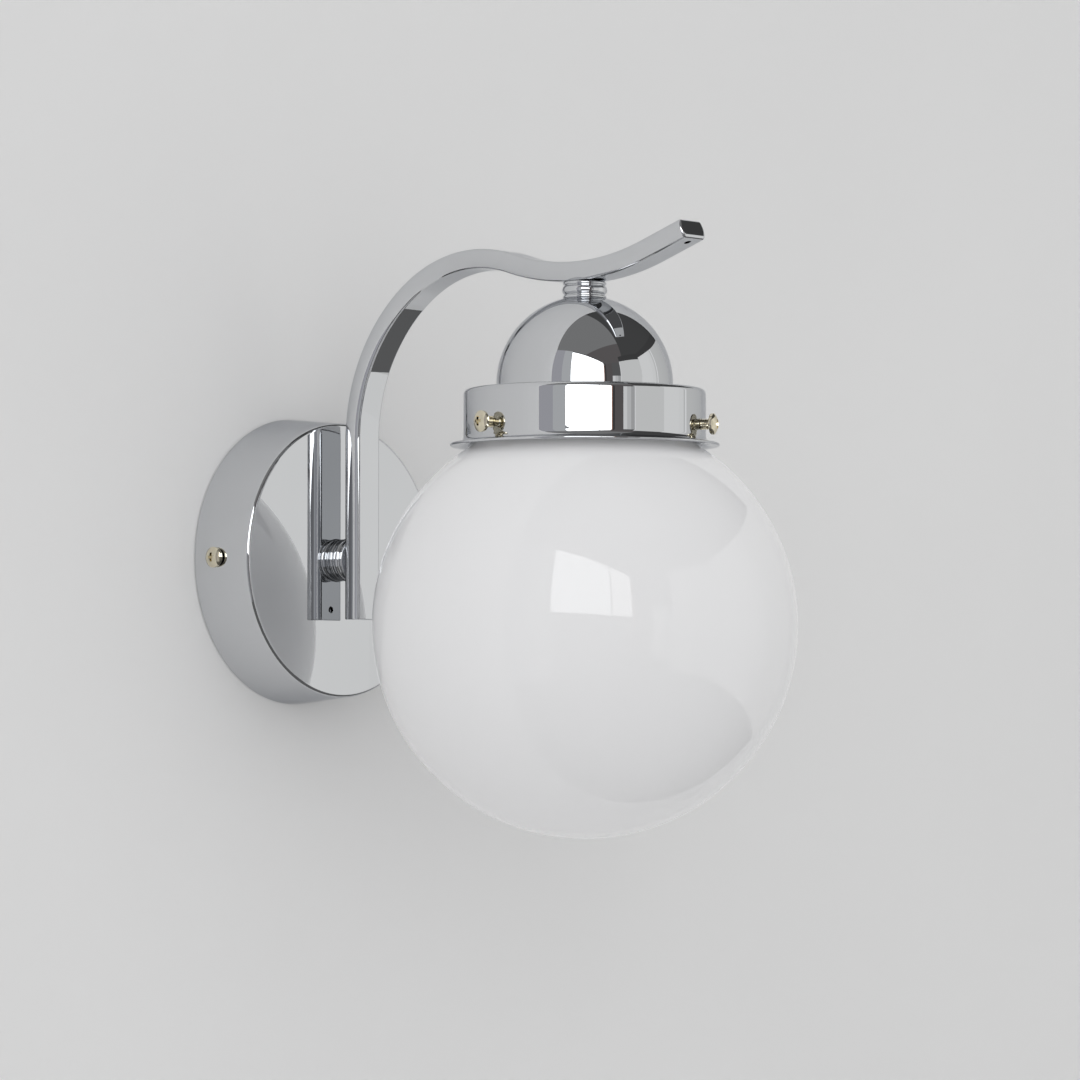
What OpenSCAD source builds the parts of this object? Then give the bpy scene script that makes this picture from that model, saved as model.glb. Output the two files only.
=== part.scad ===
// Wall lamp: a round canopy on the wall carries a flat tube arm, and an opal glass globe
// hangs under the arm in a domed gallery. Millimetres, +Z up. The wall is the plane Y = 0,
// the origin is the middle of the canopy's back, and the lamp reaches out along -Y.

/* [Canopy] */
// Diameter of the canopy where it meets the wall
canopy_back_d = 105.6; // [98:0.2:124]
// Diameter of the canopy at its flat front
canopy_front_d = 100.6; // [92:0.2:104]
// Distance from the wall to the canopy's front face
canopy_depth = 24.4; // [22:0.1:34]
// Sheet thickness of the canopy
canopy_wall = 1; // [0.6:0.1:1.4]
// Radius of the rounded edge round the canopy's front
canopy_edge_r = 1.4; // [0.8:0.1:3]
// Distance of the side screws from the wall
side_screw_y = 9.7; // [8.5:0.1:12]

/* [Wall bracket] */
// Width of the strap that is screwed to the wall
strap_w = 24; // [20:0.5:30]
// Sheet thickness of the strap
strap_t = 1.6; // [1.2:0.1:2.5]
// Inside radius of the bends in the strap
strap_bend_r = 1; // [0.5:0.1:1.5]
// Gap between the strap's ends and the inside of the canopy
strap_gap = 0.9; // [0.7:0.1:2]
// Distance between the middles of the two wall screw slots
slot_spacing = 60; // [54:0.5:64]
// Length of each wall screw slot, end to end
slot_len = 12; // [8:0.5:14]
// Width of each wall screw slot
slot_w = 4.8; // [4:0.1:5.5]
// Diameter of the hole that the supply cable comes through
cable_hole_d = 14; // [10:0.5:16]
// Distance that each end tab reaches from the wall
tab_reach = 15; // [13.5:0.1:17]
// Width of each end tab
tab_w = 12; // [9:0.5:14]
// Width of the tongue under the terminal block
tongue_w = 22; // [19:0.5:26]
// Distance that the tongue reaches below the strap
tongue_drop = 21; // [19:0.5:22]
// Distance of the earth screw from the edge of the cable hole
earth_screw_gap = 9; // [8:0.5:11]

/* [Spacers] */
// Diameter of the round middle of each turned spacer
spacer_d = 16; // [15:0.2:17]
// Length of each turned spacer
spacer_len = 6; // [5:0.1:9]
// Thickness of the ring at each end of a spacer
spacer_ring_h = 1.2; // [0.8:0.1:1.5]
// Diameter of the rings at the ends of a spacer
spacer_ring_d = 15.4; // [14:0.1:15.8]
// Diameter at the grooves between the rings and the round middle
spacer_groove_d = 14.2; // [13:0.1:15]

/* [Arm] */
// Width of the arm's flat tube
arm_w = 13.2; // [12.4:0.1:18]
// Thickness of the arm's flat tube
arm_t = 7; // [6.6:0.1:9]
// Radius of the tube's long edges
arm_edge_r = 1.1; // [0.6:0.1:2]
// Wall thickness of the arm's tube
arm_wall = 1; // [0.7:0.05:1.05]
// Distance that the arm reaches below the middle of the canopy
arm_drop = 22; // [18:0.5:40]
// Height above the canopy's middle at which the arm starts to bend
arm_rise = 43.8; // [30:0.1:60]
// Radius of the first bend, along the tube's middle
first_bend_r = 64.3; // [56:0.1:90]
// Angle of the first bend
first_bend_angle = 56; // [50:1:62]
// Radius of the tighter bend over the top
top_bend_r = 54.4; // [45:0.1:80]
// Angle of the tighter bend over the top
top_bend_angle = 52; // [46:1:58]
// Radius of the upward bend that the lamp hangs from
dip_r = 95; // [80:0.5:130]
// Angle above the horizontal at which the tip points
tip_angle = 19.8; // [10:0.2:26]
// Length of the straight stretch at the tip
tip_len = 19.1; // [12:0.1:40]
// Thickness of the end caps outside the tube
end_cap_t = 1.2; // [0.9:0.1:2]
// Depth of each end cap's plug inside the tube
end_plug_t = 0.9; // [0.6:0.1:1.2]
// Radius of the rounded edges of the tip's cap
tip_cap_edge_r = 0.9; // [0.4:0.05:1]
// Radius of the rounded edges of the foot's cap
foot_cap_edge_r = 0.3; // [0.1:0.05:0.8]
// Diameter of the vent hole near each end of the arm
vent_d = 2.5; // [1.5:0.1:3]
// Distance of each vent hole from its end of the arm
vent_inset = 3.9; // [3.6:0.1:8]
// Thickness of the threaded plates inside the arm
nut_plate_t = 1.55; // [1.2:0.05:1.6]
// Length of the threaded plates inside the arm
nut_plate_len = 16; // [12:0.5:24]

/* [Dome and gallery] */
// Outside diameter of the dome
dome_d = 62.4; // [58:0.2:72]
// Sheet thickness of the dome
dome_wall = 1; // [0.6:0.1:1.4]
// Height of the dome's straight foot on the gallery
dome_foot_h = 1.9; // [1:0.1:5]
// Gap between the gallery's collar and the globe's bead
collar_gap = 0.8; // [0.4:0.1:2]
// Height of the gallery, lip included
gallery_h = 20.1; // [18.5:0.1:26]
// Sheet thickness of the gallery
gallery_wall = 1; // [0.6:0.1:1.2]
// Radius of the rounded shoulder round the collar's top
gallery_shoulder_r = 1.8; // [1.2:0.1:4]
// Distance that the flared lip reaches beyond the collar
lip_reach = 4.8; // [4:0.1:6]
// Radius of the sweep from the collar out to the lip
lip_sweep_r = 2.6; // [1.5:0.1:3]
// Distance of the gallery screws below the collar's top
gallery_screw_drop = 13.1; // [12:0.1:14]
// Direction of the first gallery screw, from +X towards +Y
gallery_screw_angle = 171; // [161:1:181]

/* [Globe] */
// Outside diameter of the glass globe
globe_d = 150; // [130:1:200]
// Thickness of the glass
globe_wall = 2.6; // [2:0.1:4]
// Outside diameter of the globe's neck
neck_d = 76.4; // [74:0.1:76.6]
// Height of the neck between the ball and the bead
neck_h = 7.6; // [6.5:0.1:9]
// Distance that the bead stands out from the neck, over the gallery screws
bead_reach = 2.8; // [2.1:0.1:3.1]
// Height of the bead
bead_h = 6.4; // [4:0.1:7]
// Radius of the bead's rounded corners
bead_r = 1.5; // [0.5:0.1:1.8]

/* [Screws] */
// Thread diameter of the gallery and canopy screws
screw_d = 4; // [3:0.1:4.4]
// Head diameter of the gallery and canopy screws
screw_head_d = 7.5; // [6.5:0.1:9]
// Head height of the gallery and canopy screws
screw_head_h = 2.5; // [1.8:0.1:3.5]
// Length of a gallery screw under its head
gallery_screw_len = 8; // [7:0.1:10]
// Distance of a gallery screw's tip from the globe's neck
gallery_screw_tip_gap = 0.3; // [0.2:0.05:0.6]
// Length of a canopy side screw under its head
side_screw_len = 8.4; // [7.4:0.1:12]

/* [Threaded tubes, nuts and washers] */
// Outside diameter of the threaded tubes
tube_d = 8; // [7:0.1:9]
// Bore of the threaded tubes, which the wires run through
tube_bore = 5; // [4.6:0.1:5.8]
// Width of the nuts across their flats
nut_width = 13; // [12:0.1:14]
// Height of the nuts
nut_h = 4.5; // [3:0.1:6]
// Diameter of the washers
washer_d = 15.4; // [14.5:0.1:15.8]
// Thickness of the washers
washer_t = 1.2; // [0.8:0.1:2]

/* [Lampholder] */
// Outside diameter of the lampholder's cap
holder_cap_d = 39; // [38:0.5:44]
// Height of the lampholder's cap
holder_cap_h = 20; // [18:0.5:22]
// Outside diameter of the lampholder's skirt
holder_skirt_d = 37.6; // [36:0.2:38.4]
// Length of the skirt below the cap
holder_skirt_len = 33; // [30:0.5:36]
// Wall thickness of the lampholder's cap and skirt
holder_wall = 1.8; // [1.4:0.1:2.2]
// Diameter of the ring that clamps the gallery
clamp_ring_d = 50; // [46:0.5:60]
// Height of the clamp ring
clamp_ring_h = 4; // [2.5:0.5:5]

/* [Bulb] */
// Outside diameter of the bulb's screw cap
bulb_cap_d = 26.4; // [24:0.1:27]
// Height of the bulb's screw cap
bulb_cap_h = 21; // [19:0.5:23]
// Diameter of the bulb's ball
bulb_d = 60; // [45:1:66]
// Whole length of the bulb
bulb_len = 104; // [96:1:116]
// Thickness of the bulb's glass
bulb_wall = 0.8; // [0.5:0.1:1.2]

/* [Wires and terminal block] */
// Diameter of one insulated wire
wire_d = 1.6; // [1.2:0.1:1.7]
// Distance between the middles of the two wires
wire_pitch = 2.4; // [1.9:0.1:2.6]
// Bend radius of the wires where they enter the arm
wire_bend_r = 1.2; // [1.1:0.1:1.5]
// Bend radius of the wires inside the canopy
wire_drop_r = 4; // [3:0.5:5]
// Distance between the two poles of the terminal block
pole_pitch = 8; // [7:0.5:9]
// Size of the terminal block along the wires
block_len = 16; // [14:0.5:17]
// Height of the terminal block off the strap
block_h = 14; // [12:0.5:15]

/* [Fits] */
// Radial gap in a thread or round a sliding shaft
thread_gap = 0.05; // [0.02:0.01:0.08]
// Radial gap where a piece passes freely through a hole
pass_gap = 0.15; // [0.1:0.05:0.4]
// Gap where a curved seat meets a flat one
seat_gap = 0.05; // [0.02:0.01:0.1]

/* [Hidden] */
$fn = 96;

// Extra length of a cut beyond the faces that it passes through
cut = 1;
// Length that one stretch of the arm or of a wire reaches into the next, and the trim of the next
lap = 0.05;
lap_trim = 0.01;
chrome = [0.86, 0.87, 0.88];
zinc = [0.72, 0.73, 0.75];
brass = [0.80, 0.68, 0.42];
nickel_brass = [0.80, 0.76, 0.66];
opal = [0.96, 0.96, 0.95];

// Places in the arm's own plane, as [distance from the wall, height]
function on_circle(middle, radius, angle) = middle + radius * [cos(angle), sin(angle)];
arm_back = canopy_depth + spacer_len;
arm_mid = arm_back + arm_t / 2;
first_bend = [arm_mid + first_bend_r, arm_rise];
first_end_angle = 180 - first_bend_angle;
first_end = on_circle(first_bend, first_bend_r, first_end_angle);
top_bend = on_circle(first_end, -top_bend_r, first_end_angle);
top_end_angle = first_end_angle - top_bend_angle;
top_end = on_circle(top_bend, top_bend_r, top_end_angle);
dip = on_circle(top_end, dip_r, top_end_angle);
dip_start_angle = top_end_angle + 180;
dip_low_angle = 270;
dip_end_angle = dip_low_angle + tip_angle;
dip_end = on_circle(dip, dip_r, dip_end_angle);
tube_tip_len = tip_len - end_cap_t;
arm_bore_edge_r = max(0.1, arm_edge_r - arm_wall);
tip = on_circle(dip_end, tube_tip_len, tip_angle);
dip_z = dip[1] - dip_r;

// The lamp's axis stands beside the arm's lowest point by the bend of the wires
lamp_reach = dip[0] + wire_bend_r;

// Heights down the lamp's axis
dome_seat_r = spacer_ring_d / 2 + 0.3;
dome_seat_z = dip_z - arm_t / 2 - seat_gap - spacer_len;
dome_r = dome_d / 2;
dome_middle_z = dome_seat_z - sqrt(pow(dome_r, 2) - pow(dome_seat_r, 2));
gallery_top_z = dome_middle_z - dome_foot_h;
gallery_screw_z = gallery_top_z - gallery_screw_drop;
bead_z = gallery_screw_z + screw_d / 2 + seat_gap;
neck_r = neck_d / 2;
bead_outer_r = neck_r + bead_reach;
gallery_r = bead_outer_r + collar_gap + gallery_wall;
lip_r = gallery_r + lip_reach;
globe_r = globe_d / 2;
ball_top = sqrt(pow(globe_r, 2) - pow(neck_r, 2));
globe_z = bead_z - neck_h - ball_top;
dome_washer_z = dome_seat_z - dome_wall - washer_t;
dome_nut_z = dome_washer_z - nut_h;
holder_top_z = dome_nut_z - seat_gap;
holder_joint_z = holder_top_z - holder_cap_h;
holder_bottom_z = holder_joint_z - holder_skirt_len;

// The lampholder's inner pieces
holder_neck_h = 8;
holder_neck_r = 7.5;
holder_neck_grip = 7;
holder_shoulder_r = 5;
holder_spigot_h = 4;
holder_thread_r = holder_cap_d / 2 - holder_wall - thread_gap;
insert_h = holder_cap_h - holder_neck_h - holder_shoulder_r - holder_spigot_h;
insert_boss_h = 4;
shell_len = 26;
shell_t = 0.6;
shell_r = bulb_cap_d / 2 + 3 * thread_gap;
shell_top_z = holder_joint_z + holder_spigot_h - insert_boss_h;
contact_r = 4.5;
contact_t = 0.6;
contact_stem_r = 1.5;
bulb_tip_z = shell_top_z - shell_t - 3;
contact_z = bulb_tip_z + thread_gap;

// The bulb: its ball, and the straight shoulder that is tangent to the ball
bulb_tip_r = 4.7;
bulb_tip_h = 1;
bulb_cone_h = 3;
bulb_cap_top_z = bulb_tip_z - bulb_tip_h - bulb_cone_h;
bulb_cap_t = 0.4;
bulb_neck_z = bulb_cap_top_z - bulb_cap_h - seat_gap;
bulb_plug_h = 3;
bulb_ball_z = bulb_tip_z - bulb_len + bulb_d / 2;

// The threaded tube through the canopy
canopy_inside = canopy_depth - canopy_wall;
centre_nut_y = canopy_inside - washer_t - nut_h;
tube_stub = 1.2;

// The canopy's side
function canopy_r(y) = (canopy_back_d - (canopy_back_d - canopy_front_d) * y / canopy_depth) / 2;
side_seat_x = canopy_r(side_screw_y - screw_head_d / 2) + thread_gap;
tab_x = canopy_r(tab_reach) - canopy_wall - strap_gap;

// The bracket's tongue and the terminal block on it
block_w = pole_pitch * 2 + 1;
block_top_z = -strap_w / 2 - 2;
block_mid_z = block_top_z - block_len / 2;
block_web_h = block_h * 0.6;
pole_r = 2.2;
pole_bore_r = 1.5;
pole_y = strap_t + block_h * 0.4;
pole_screw_r = 1.4;
pole_screw_offset = block_len / 4;
wire_depth = 6.5;
small_screw_r = 1.5;
small_head_r = 2.75;
small_head_h = 1.8;
earth_screw_x = cable_hole_d / 2 + earth_screw_gap;

// Turns a shape drawn as [distance from the wall, height] into the lamp's middle plane
module in_arm_plane() {
    rotate([90, 0, -90]) children();
}

// Turns a shape drawn round +Z so that it points from the wall into the room
module from_wall() {
    rotate([90, 0, 0]) children();
}

// Moves a shape drawn round the origin to the lamp's axis
module on_lamp_axis(height) {
    translate([0, -lamp_reach, height]) children();
}

// Turns a shape drawn along +Z so that it runs from a point along a heading in the arm's plane
module at_heading(start, heading) {
    translate([start[0], start[1], 0]) rotate([0, 0, heading - 90]) rotate([90, 0, 180]) children();
}

// One straight stretch of a section. Where two stretches meet, one reaches a lap into the other,
// and the other is trimmed a hair thinner, so that they join without two surfaces in one place.
module straight(start, heading, length, laps = [0, 0], trim = 0) {
    $trim = trim;
    at_heading(start, heading) translate([0, 0, -laps[0]])
        linear_extrude(length + laps[0] + laps[1]) children();
}

// One bend of a section about a middle in the arm's plane, with its laps given as lengths
module bend(middle, radius, from_angle, to_angle, laps = [0, 0], trim = 0) {
    $trim = trim;
    lap_angles = laps / radius * 180 / PI;
    translate([middle[0], middle[1], 0]) rotate([0, 0, from_angle - lap_angles[0]])
        rotate_extrude(angle = to_angle - from_angle + lap_angles[0] + lap_angles[1])
            translate([radius, 0]) children();
}

// The run of the arm from a start height to an angle on its upward bend
module arm_run(start_z, end_angle, start_lap = 0) {
    straight([arm_mid, start_z], 90, arm_rise - start_z, [start_lap, lap]) children();
    bend(first_bend, first_bend_r, first_end_angle, 180, trim = lap_trim) children();
    bend(top_bend, top_bend_r, top_end_angle, first_end_angle, [lap, lap]) children();
    bend(dip, dip_r, dip_start_angle, end_angle, trim = lap_trim) children();
}

// A rectangle with rounded corners, round the origin
module rounded_rectangle(size, radius) {
    square([size[0] - 2 * radius, size[1]], center = true);
    square([size[0], size[1] - 2 * radius], center = true);
    for (x = [-1, 1], y = [-1, 1])
        translate([x * (size[0] / 2 - radius), y * (size[1] / 2 - radius)]) circle(radius);
}

// The arm's flat tube, a hair thinner where the stretch is trimmed
module tube_section() {
    bore = 2 * (arm_wall - $trim);
    difference() {
        rounded_rectangle([arm_t - 2 * $trim, arm_w - 2 * $trim], arm_edge_r);
        rounded_rectangle([arm_t - bore, arm_w - bore], arm_bore_edge_r);
    }
}

// A wire, a hair thinner where the stretch is trimmed
module wire_section() {
    circle(wire_d / 2 - $trim, $fn = 24);
}

// A round bar or hole along +Z
module bar(radius, from_z, to_z) {
    translate([0, 0, from_z]) cylinder(r = radius, h = to_z - from_z);
}

// A pan head with a cross recess, standing on z = 0, and its shank below
module pan_screw(shank_d, length, head_d, head_h) {
    dome_h = head_h * 0.45;
    crown_r = (pow(head_d / 2, 2) + pow(dome_h, 2)) / (2 * dome_h);
    recess_w = head_d * 0.14;
    recess_len = head_d * 0.58;
    recess_depth = head_h * 0.5;
    tip_chamfer = shank_d * 0.12;
    difference() {
        union() {
            bar(head_d / 2, 0, head_h - dome_h);
            translate([0, 0, head_h - dome_h]) intersection() {
                cylinder(r = head_d / 2, h = dome_h);
                translate([0, 0, dome_h - crown_r]) sphere(crown_r);
            }
        }
        for (turn = [0, 90]) rotate([0, 0, turn])
            translate([-recess_len / 2, -recess_w / 2, head_h - recess_depth])
                cube([recess_len, recess_w, recess_depth + cut]);
    }
    bar(shank_d / 2, tip_chamfer - length, 0);
    translate([0, 0, -length])
        cylinder(r1 = shank_d / 2 - tip_chamfer, r2 = shank_d / 2, h = tip_chamfer);
}

// A hexagonal nut along +Z with chamfered corners, standing on z = 0
module hex_nut(height) {
    corner_r = nut_width / 2 / cos(30);
    difference() {
        intersection() {
            cylinder(r = corner_r, h = height, $fn = 6);
            rotate_extrude() polygon([[0, 0], [nut_width / 2, 0], [corner_r, corner_r - nut_width / 2],
                [corner_r, height - corner_r + nut_width / 2], [nut_width / 2, height], [0, height]]);
        }
        bar(tube_d / 2 + thread_gap, -cut, height + cut);
    }
}

module washer() {
    difference() {
        bar(washer_d / 2, 0, washer_t);
        bar(tube_d / 2 + pass_gap, -cut, washer_t + cut);
    }
}

// A threaded tube along +Z
module threaded_tube(from_z, to_z) {
    difference() {
        bar(tube_d / 2, from_z, to_z);
        bar(tube_bore / 2, from_z - cut, to_z + cut);
    }
}

// A turned spacer along +Z: a ring, a groove, a round middle, a groove and a ring
module spacer() {
    ring_edge_r = spacer_ring_h / 2;
    middle_r = (spacer_len - 2 * spacer_ring_h) / 2;
    difference() {
        rotate_extrude() {
            square([spacer_groove_d / 2, spacer_len]);
            for (z = [ring_edge_r, spacer_len - ring_edge_r]) {
                translate([0, z - ring_edge_r])
                    square([spacer_ring_d / 2 - ring_edge_r, spacer_ring_h]);
                translate([spacer_ring_d / 2 - ring_edge_r, z]) circle(ring_edge_r);
            }
            translate([spacer_d / 2 - middle_r, spacer_len / 2]) circle(middle_r);
        }
        bar(tube_d / 2 + pass_gap, -cut, spacer_len + cut);
    }
}

// The canopy's outline without its hollow, as half of a section
module canopy_half(back_r, front_r, depth, edge_r) {
    slope = atan2(back_r - front_r, depth);
    edge_x = front_r - edge_r * tan((90 - slope) / 2);
    difference() {
        polygon([[0, 0], [back_r, 0], [front_r, depth], [0, depth]]);
        translate([edge_x, depth - edge_r]) difference() {
            rotate([0, 0, slope]) square(2 * edge_r);
            circle(edge_r);
            translate([-2 * edge_r, -2 * edge_r]) square([2 * edge_r, 4 * edge_r]);
        }
    }
}

module canopy() {
    inner_edge_r = max(0.2, canopy_edge_r - canopy_wall);
    color(chrome) difference() {
        from_wall() rotate_extrude() difference() {
            canopy_half(canopy_back_d / 2, canopy_front_d / 2, canopy_depth, canopy_edge_r);
            translate([0, -canopy_wall]) canopy_half(canopy_back_d / 2 - canopy_wall,
                canopy_front_d / 2 - canopy_wall, canopy_depth, inner_edge_r);
        }
        from_wall() bar(tube_d / 2 + pass_gap, canopy_inside - cut, canopy_depth + cut);
        translate([-canopy_back_d, -side_screw_y, 0]) rotate([0, 90, 0])
            cylinder(r = screw_d / 2 + pass_gap, h = 2 * canopy_back_d);
    }
}

// The bracket's long section, drawn as [across, distance from the wall]
module strap_section() {
    outer_r = strap_bend_r + strap_t;
    for (side = [0, 1]) mirror([side, 0]) {
        square([tab_x - outer_r, strap_t]);
        translate([tab_x - strap_t, outer_r]) square([strap_t, tab_reach - outer_r]);
        translate([tab_x - outer_r, outer_r]) intersection() {
            difference() {
                circle(outer_r);
                circle(strap_bend_r);
            }
            translate([0, -outer_r]) square(outer_r);
        }
    }
}

module wall_bracket() {
    notch = (strap_w - tab_w) / 2;
    tab_start_x = tab_x - strap_bend_r - strap_t;
    color(zinc) difference() {
        union() {
            mirror([0, 1, 0]) translate([0, 0, -strap_w / 2]) linear_extrude(strap_w) strap_section();
            translate([-tongue_w / 2, -strap_t, -strap_w / 2 - tongue_drop])
                cube([tongue_w, strap_t, tongue_drop]);
        }
        for (side = [0, 1], z = [-1, 1]) mirror([side, 0, 0])
            translate([tab_start_x, -tab_reach - cut, z > 0 ? tab_w / 2 : -tab_w / 2 - notch - cut])
                cube([tab_x, tab_reach + 2 * cut, notch + cut]);
        for (side = [-1, 1]) translate([side * slot_spacing / 2, cut, 0]) from_wall()
            linear_extrude(strap_t + 2 * cut) {
                square([slot_len - slot_w, slot_w], center = true);
                for (end = [-1, 1]) translate([end * (slot_len - slot_w) / 2, 0]) circle(slot_w / 2);
            }
        from_wall() bar(cable_hole_d / 2, -cut, strap_t + cut);
        translate([earth_screw_x, 0, 0]) from_wall() bar(screw_d / 2 + thread_gap, -cut, strap_t + cut);
        translate([0, 0, block_mid_z]) from_wall() bar(small_screw_r + thread_gap, -cut, strap_t + cut);
        translate([-2 * tab_x, -side_screw_y, 0]) rotate([0, 90, 0])
            cylinder(r = screw_d / 2 + thread_gap, h = 4 * tab_x);
    }
}

// A side screw: side is -1 for the left one and 1 for the right one
module canopy_screw(side) {
    color(nickel_brass) translate([side * side_seat_x, -side_screw_y, 0]) rotate([0, side * 90, 0])
        pan_screw(screw_d, side_screw_len, screw_head_d, screw_head_h);
}

module canopy_screw_left() canopy_screw(-1);
module canopy_screw_right() canopy_screw(1);

module earth_screw() {
    color(brass) translate([earth_screw_x, -strap_t, 0]) from_wall()
        pan_screw(screw_d, strap_t, screw_head_d, screw_head_h);
}

module terminal_block() {
    ridge_r = pole_pitch * 0.43;
    color("ivory") difference() {
        translate([0, 0, block_top_z - block_len]) {
            translate([-block_w / 2, -strap_t - block_web_h, 0]) cube([block_w, block_web_h, block_len]);
            for (side = [-1, 1]) translate([side * pole_pitch / 2, 0, 0]) {
                translate([-ridge_r, -strap_t - block_h + ridge_r, 0])
                    cube([2 * ridge_r, block_h - ridge_r, block_len]);
                translate([0, -strap_t - block_h + ridge_r, 0]) cylinder(r = ridge_r, h = block_len);
            }
        }
        for (side = [-1, 1]) translate([side * pole_pitch / 2, -pole_y, 0]) {
            bar(pole_r + thread_gap, block_top_z - block_len - cut, block_top_z + cut);
            for (row = [-1, 1]) translate([0, 0, block_mid_z + row * pole_screw_offset])
                from_wall() bar(pole_screw_r + 2 * pass_gap, 0, block_h);
        }
        translate([0, 0, block_mid_z]) from_wall() {
            bar(small_screw_r + pass_gap, 0, block_h + 2 * strap_t);
            bar(small_head_r + pass_gap, strap_t + block_web_h, block_h + 2 * strap_t);
        }
    }
}

module terminal_tubes() {
    color(brass) for (side = [-1, 1]) translate([side * pole_pitch / 2, -pole_y, 0]) difference() {
        bar(pole_r, block_top_z - block_len + 1, block_top_z - 1);
        bar(pole_bore_r, block_top_z - block_len, block_top_z);
        for (row = [-1, 1]) translate([0, 0, block_mid_z + row * pole_screw_offset])
            from_wall() bar(pole_screw_r + thread_gap, 0, 2 * pole_r);
    }
}

// The four wire clamp screws, each seated in its tube and standing in its well
module terminal_screws() {
    clamp_y = wire_d / 2 + seat_gap;
    slot_depth = 0.8;
    slot_width = 0.6;
    screw_len = 5;
    color(zinc) for (side = [-1, 1], row = [-1, 1])
        translate([side * pole_pitch / 2, -pole_y, block_mid_z + row * pole_screw_offset]) from_wall()
            difference() {
                bar(pole_screw_r, clamp_y, clamp_y + screw_len);
                translate([-cut - pole_screw_r, -slot_width / 2, clamp_y + screw_len - slot_depth])
                    cube([2 * pole_screw_r + 2 * cut, slot_width, slot_depth + cut]);
            }
}

module block_screw() {
    color(zinc) translate([0, -strap_t - block_web_h, block_mid_z]) from_wall()
        pan_screw(2 * small_screw_r, strap_t + block_web_h, 2 * small_head_r, small_head_h);
}

module centre_tube() {
    color(zinc) from_wall()
        threaded_tube(centre_nut_y - tube_stub, arm_back + arm_wall + nut_plate_t);
}

module centre_washer() {
    color(zinc) from_wall() translate([0, 0, canopy_inside - washer_t]) washer();
}

module centre_nut() {
    color(brass) from_wall() translate([0, 0, centre_nut_y]) hex_nut(nut_h);
}

module canopy_spacer() {
    color(chrome) from_wall() translate([0, 0, canopy_depth]) spacer();
}

module arm() {
    color(chrome) difference() {
        in_arm_plane() {
            arm_run(end_cap_t - arm_drop, dip_end_angle) tube_section();
            straight(dip_end, tip_angle, tube_tip_len, [lap, 0]) tube_section();
        }
        from_wall() bar(tube_d / 2 + thread_gap, arm_back - cut, arm_mid);
        translate([0, 0, vent_inset - arm_drop]) from_wall() bar(vent_d / 2, arm_back - cut, arm_mid);
        on_lamp_axis(0) bar(tube_d / 2 + thread_gap, dip_z - arm_t, dip_z);
        in_arm_plane() translate([tip[0], tip[1], 0]) rotate([0, 0, tip_angle])
            translate([end_cap_t - vent_inset, 0, 0]) rotate([90, 0, 0]) cylinder(r = vent_d / 2, h = arm_t);
    }
}

// An end cap drawn on z = 0 with its rounded face upwards and its plug below
module end_cap(edge_r) {
    plug_w = arm_w - 2 * arm_wall - 2 * thread_gap;
    plug_t = arm_t - 2 * arm_wall - 2 * thread_gap;
    intersection() {
        linear_extrude(end_cap_t) rounded_rectangle([arm_t, arm_w], arm_edge_r);
        rotate([90, 0, 0]) translate([0, 0, -arm_w]) linear_extrude(2 * arm_w)
            cap_outline(arm_t, edge_r);
        rotate([90, 0, 90]) translate([0, 0, -arm_t]) linear_extrude(2 * arm_t)
            cap_outline(arm_w, edge_r);
    }
    translate([0, 0, -end_plug_t]) linear_extrude(end_plug_t)
        rounded_rectangle([plug_t, plug_w], arm_bore_edge_r);
}

// The side view of an end cap: a plate whose two outer corners are round
module cap_outline(width, edge_r) {
    translate([-width / 2, 0]) square([width, end_cap_t - edge_r]);
    translate([edge_r - width / 2, 0]) square([width - 2 * edge_r, end_cap_t]);
    for (side = [-1, 1]) translate([side * (width / 2 - edge_r), end_cap_t - edge_r]) circle(edge_r);
}

module arm_tip_cap() {
    color(chrome) in_arm_plane() at_heading(tip, tip_angle) end_cap(tip_cap_edge_r);
}

module arm_foot_cap() {
    color(chrome) in_arm_plane() at_heading([arm_mid, end_cap_t - arm_drop], 270)
        end_cap(foot_cap_edge_r);
}

module wall_nut_plate() {
    plate_w = arm_w - 2 * arm_wall - 4 * thread_gap;
    color(zinc) difference() {
        translate([-plate_w / 2, -arm_back - arm_wall - nut_plate_t, -nut_plate_len / 2])
            cube([plate_w, nut_plate_t, nut_plate_len]);
        from_wall() bar(tube_d / 2 + thread_gap, arm_back, arm_mid + arm_t);
    }
}

// The plate over the lamp is curved like the floor of the arm that it lies on
module dome_nut_plate() {
    plate_w = arm_w - 2 * arm_wall - 4 * thread_gap;
    half_angle = nut_plate_len / 2 / dip_r * 180 / PI;
    lamp_angle = dip_low_angle + wire_bend_r / dip_r * 180 / PI;
    color(zinc) difference() {
        in_arm_plane() bend(dip, dip_r, lamp_angle - half_angle, lamp_angle + half_angle)
            translate([arm_t / 2 - arm_wall - thread_gap - nut_plate_t, -plate_w / 2])
                square([nut_plate_t, plate_w]);
        on_lamp_axis(0) bar(tube_d / 2 + thread_gap, dip_z - arm_t, dip_z + arm_t);
    }
}

module dome_spacer() {
    color(chrome) on_lamp_axis(dome_seat_z) spacer();
}

module dome_tube() {
    color(zinc) on_lamp_axis(0) threaded_tube(holder_top_z - holder_neck_grip,
        dip_z - arm_t / 2 + arm_wall + nut_plate_t);
}

// Half of the dome's section from a radius, its height above the middle and its foot below
module dome_half(radius, top, foot) {
    intersection() {
        circle(radius);
        square([radius, top]);
    }
    translate([0, -foot]) square([radius, foot + thread_gap]);
}

module dome() {
    top = dome_seat_z - dome_middle_z;
    color(chrome) on_lamp_axis(dome_middle_z) difference() {
        rotate_extrude() difference() {
            dome_half(dome_r, top, dome_foot_h);
            dome_half(dome_r - dome_wall, top - dome_wall, dome_foot_h + cut);
        }
        bar(tube_d / 2 + pass_gap, 0, dome_r + cut);
    }
}

module dome_washer() {
    color(zinc) on_lamp_axis(dome_washer_z) washer();
}

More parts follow.
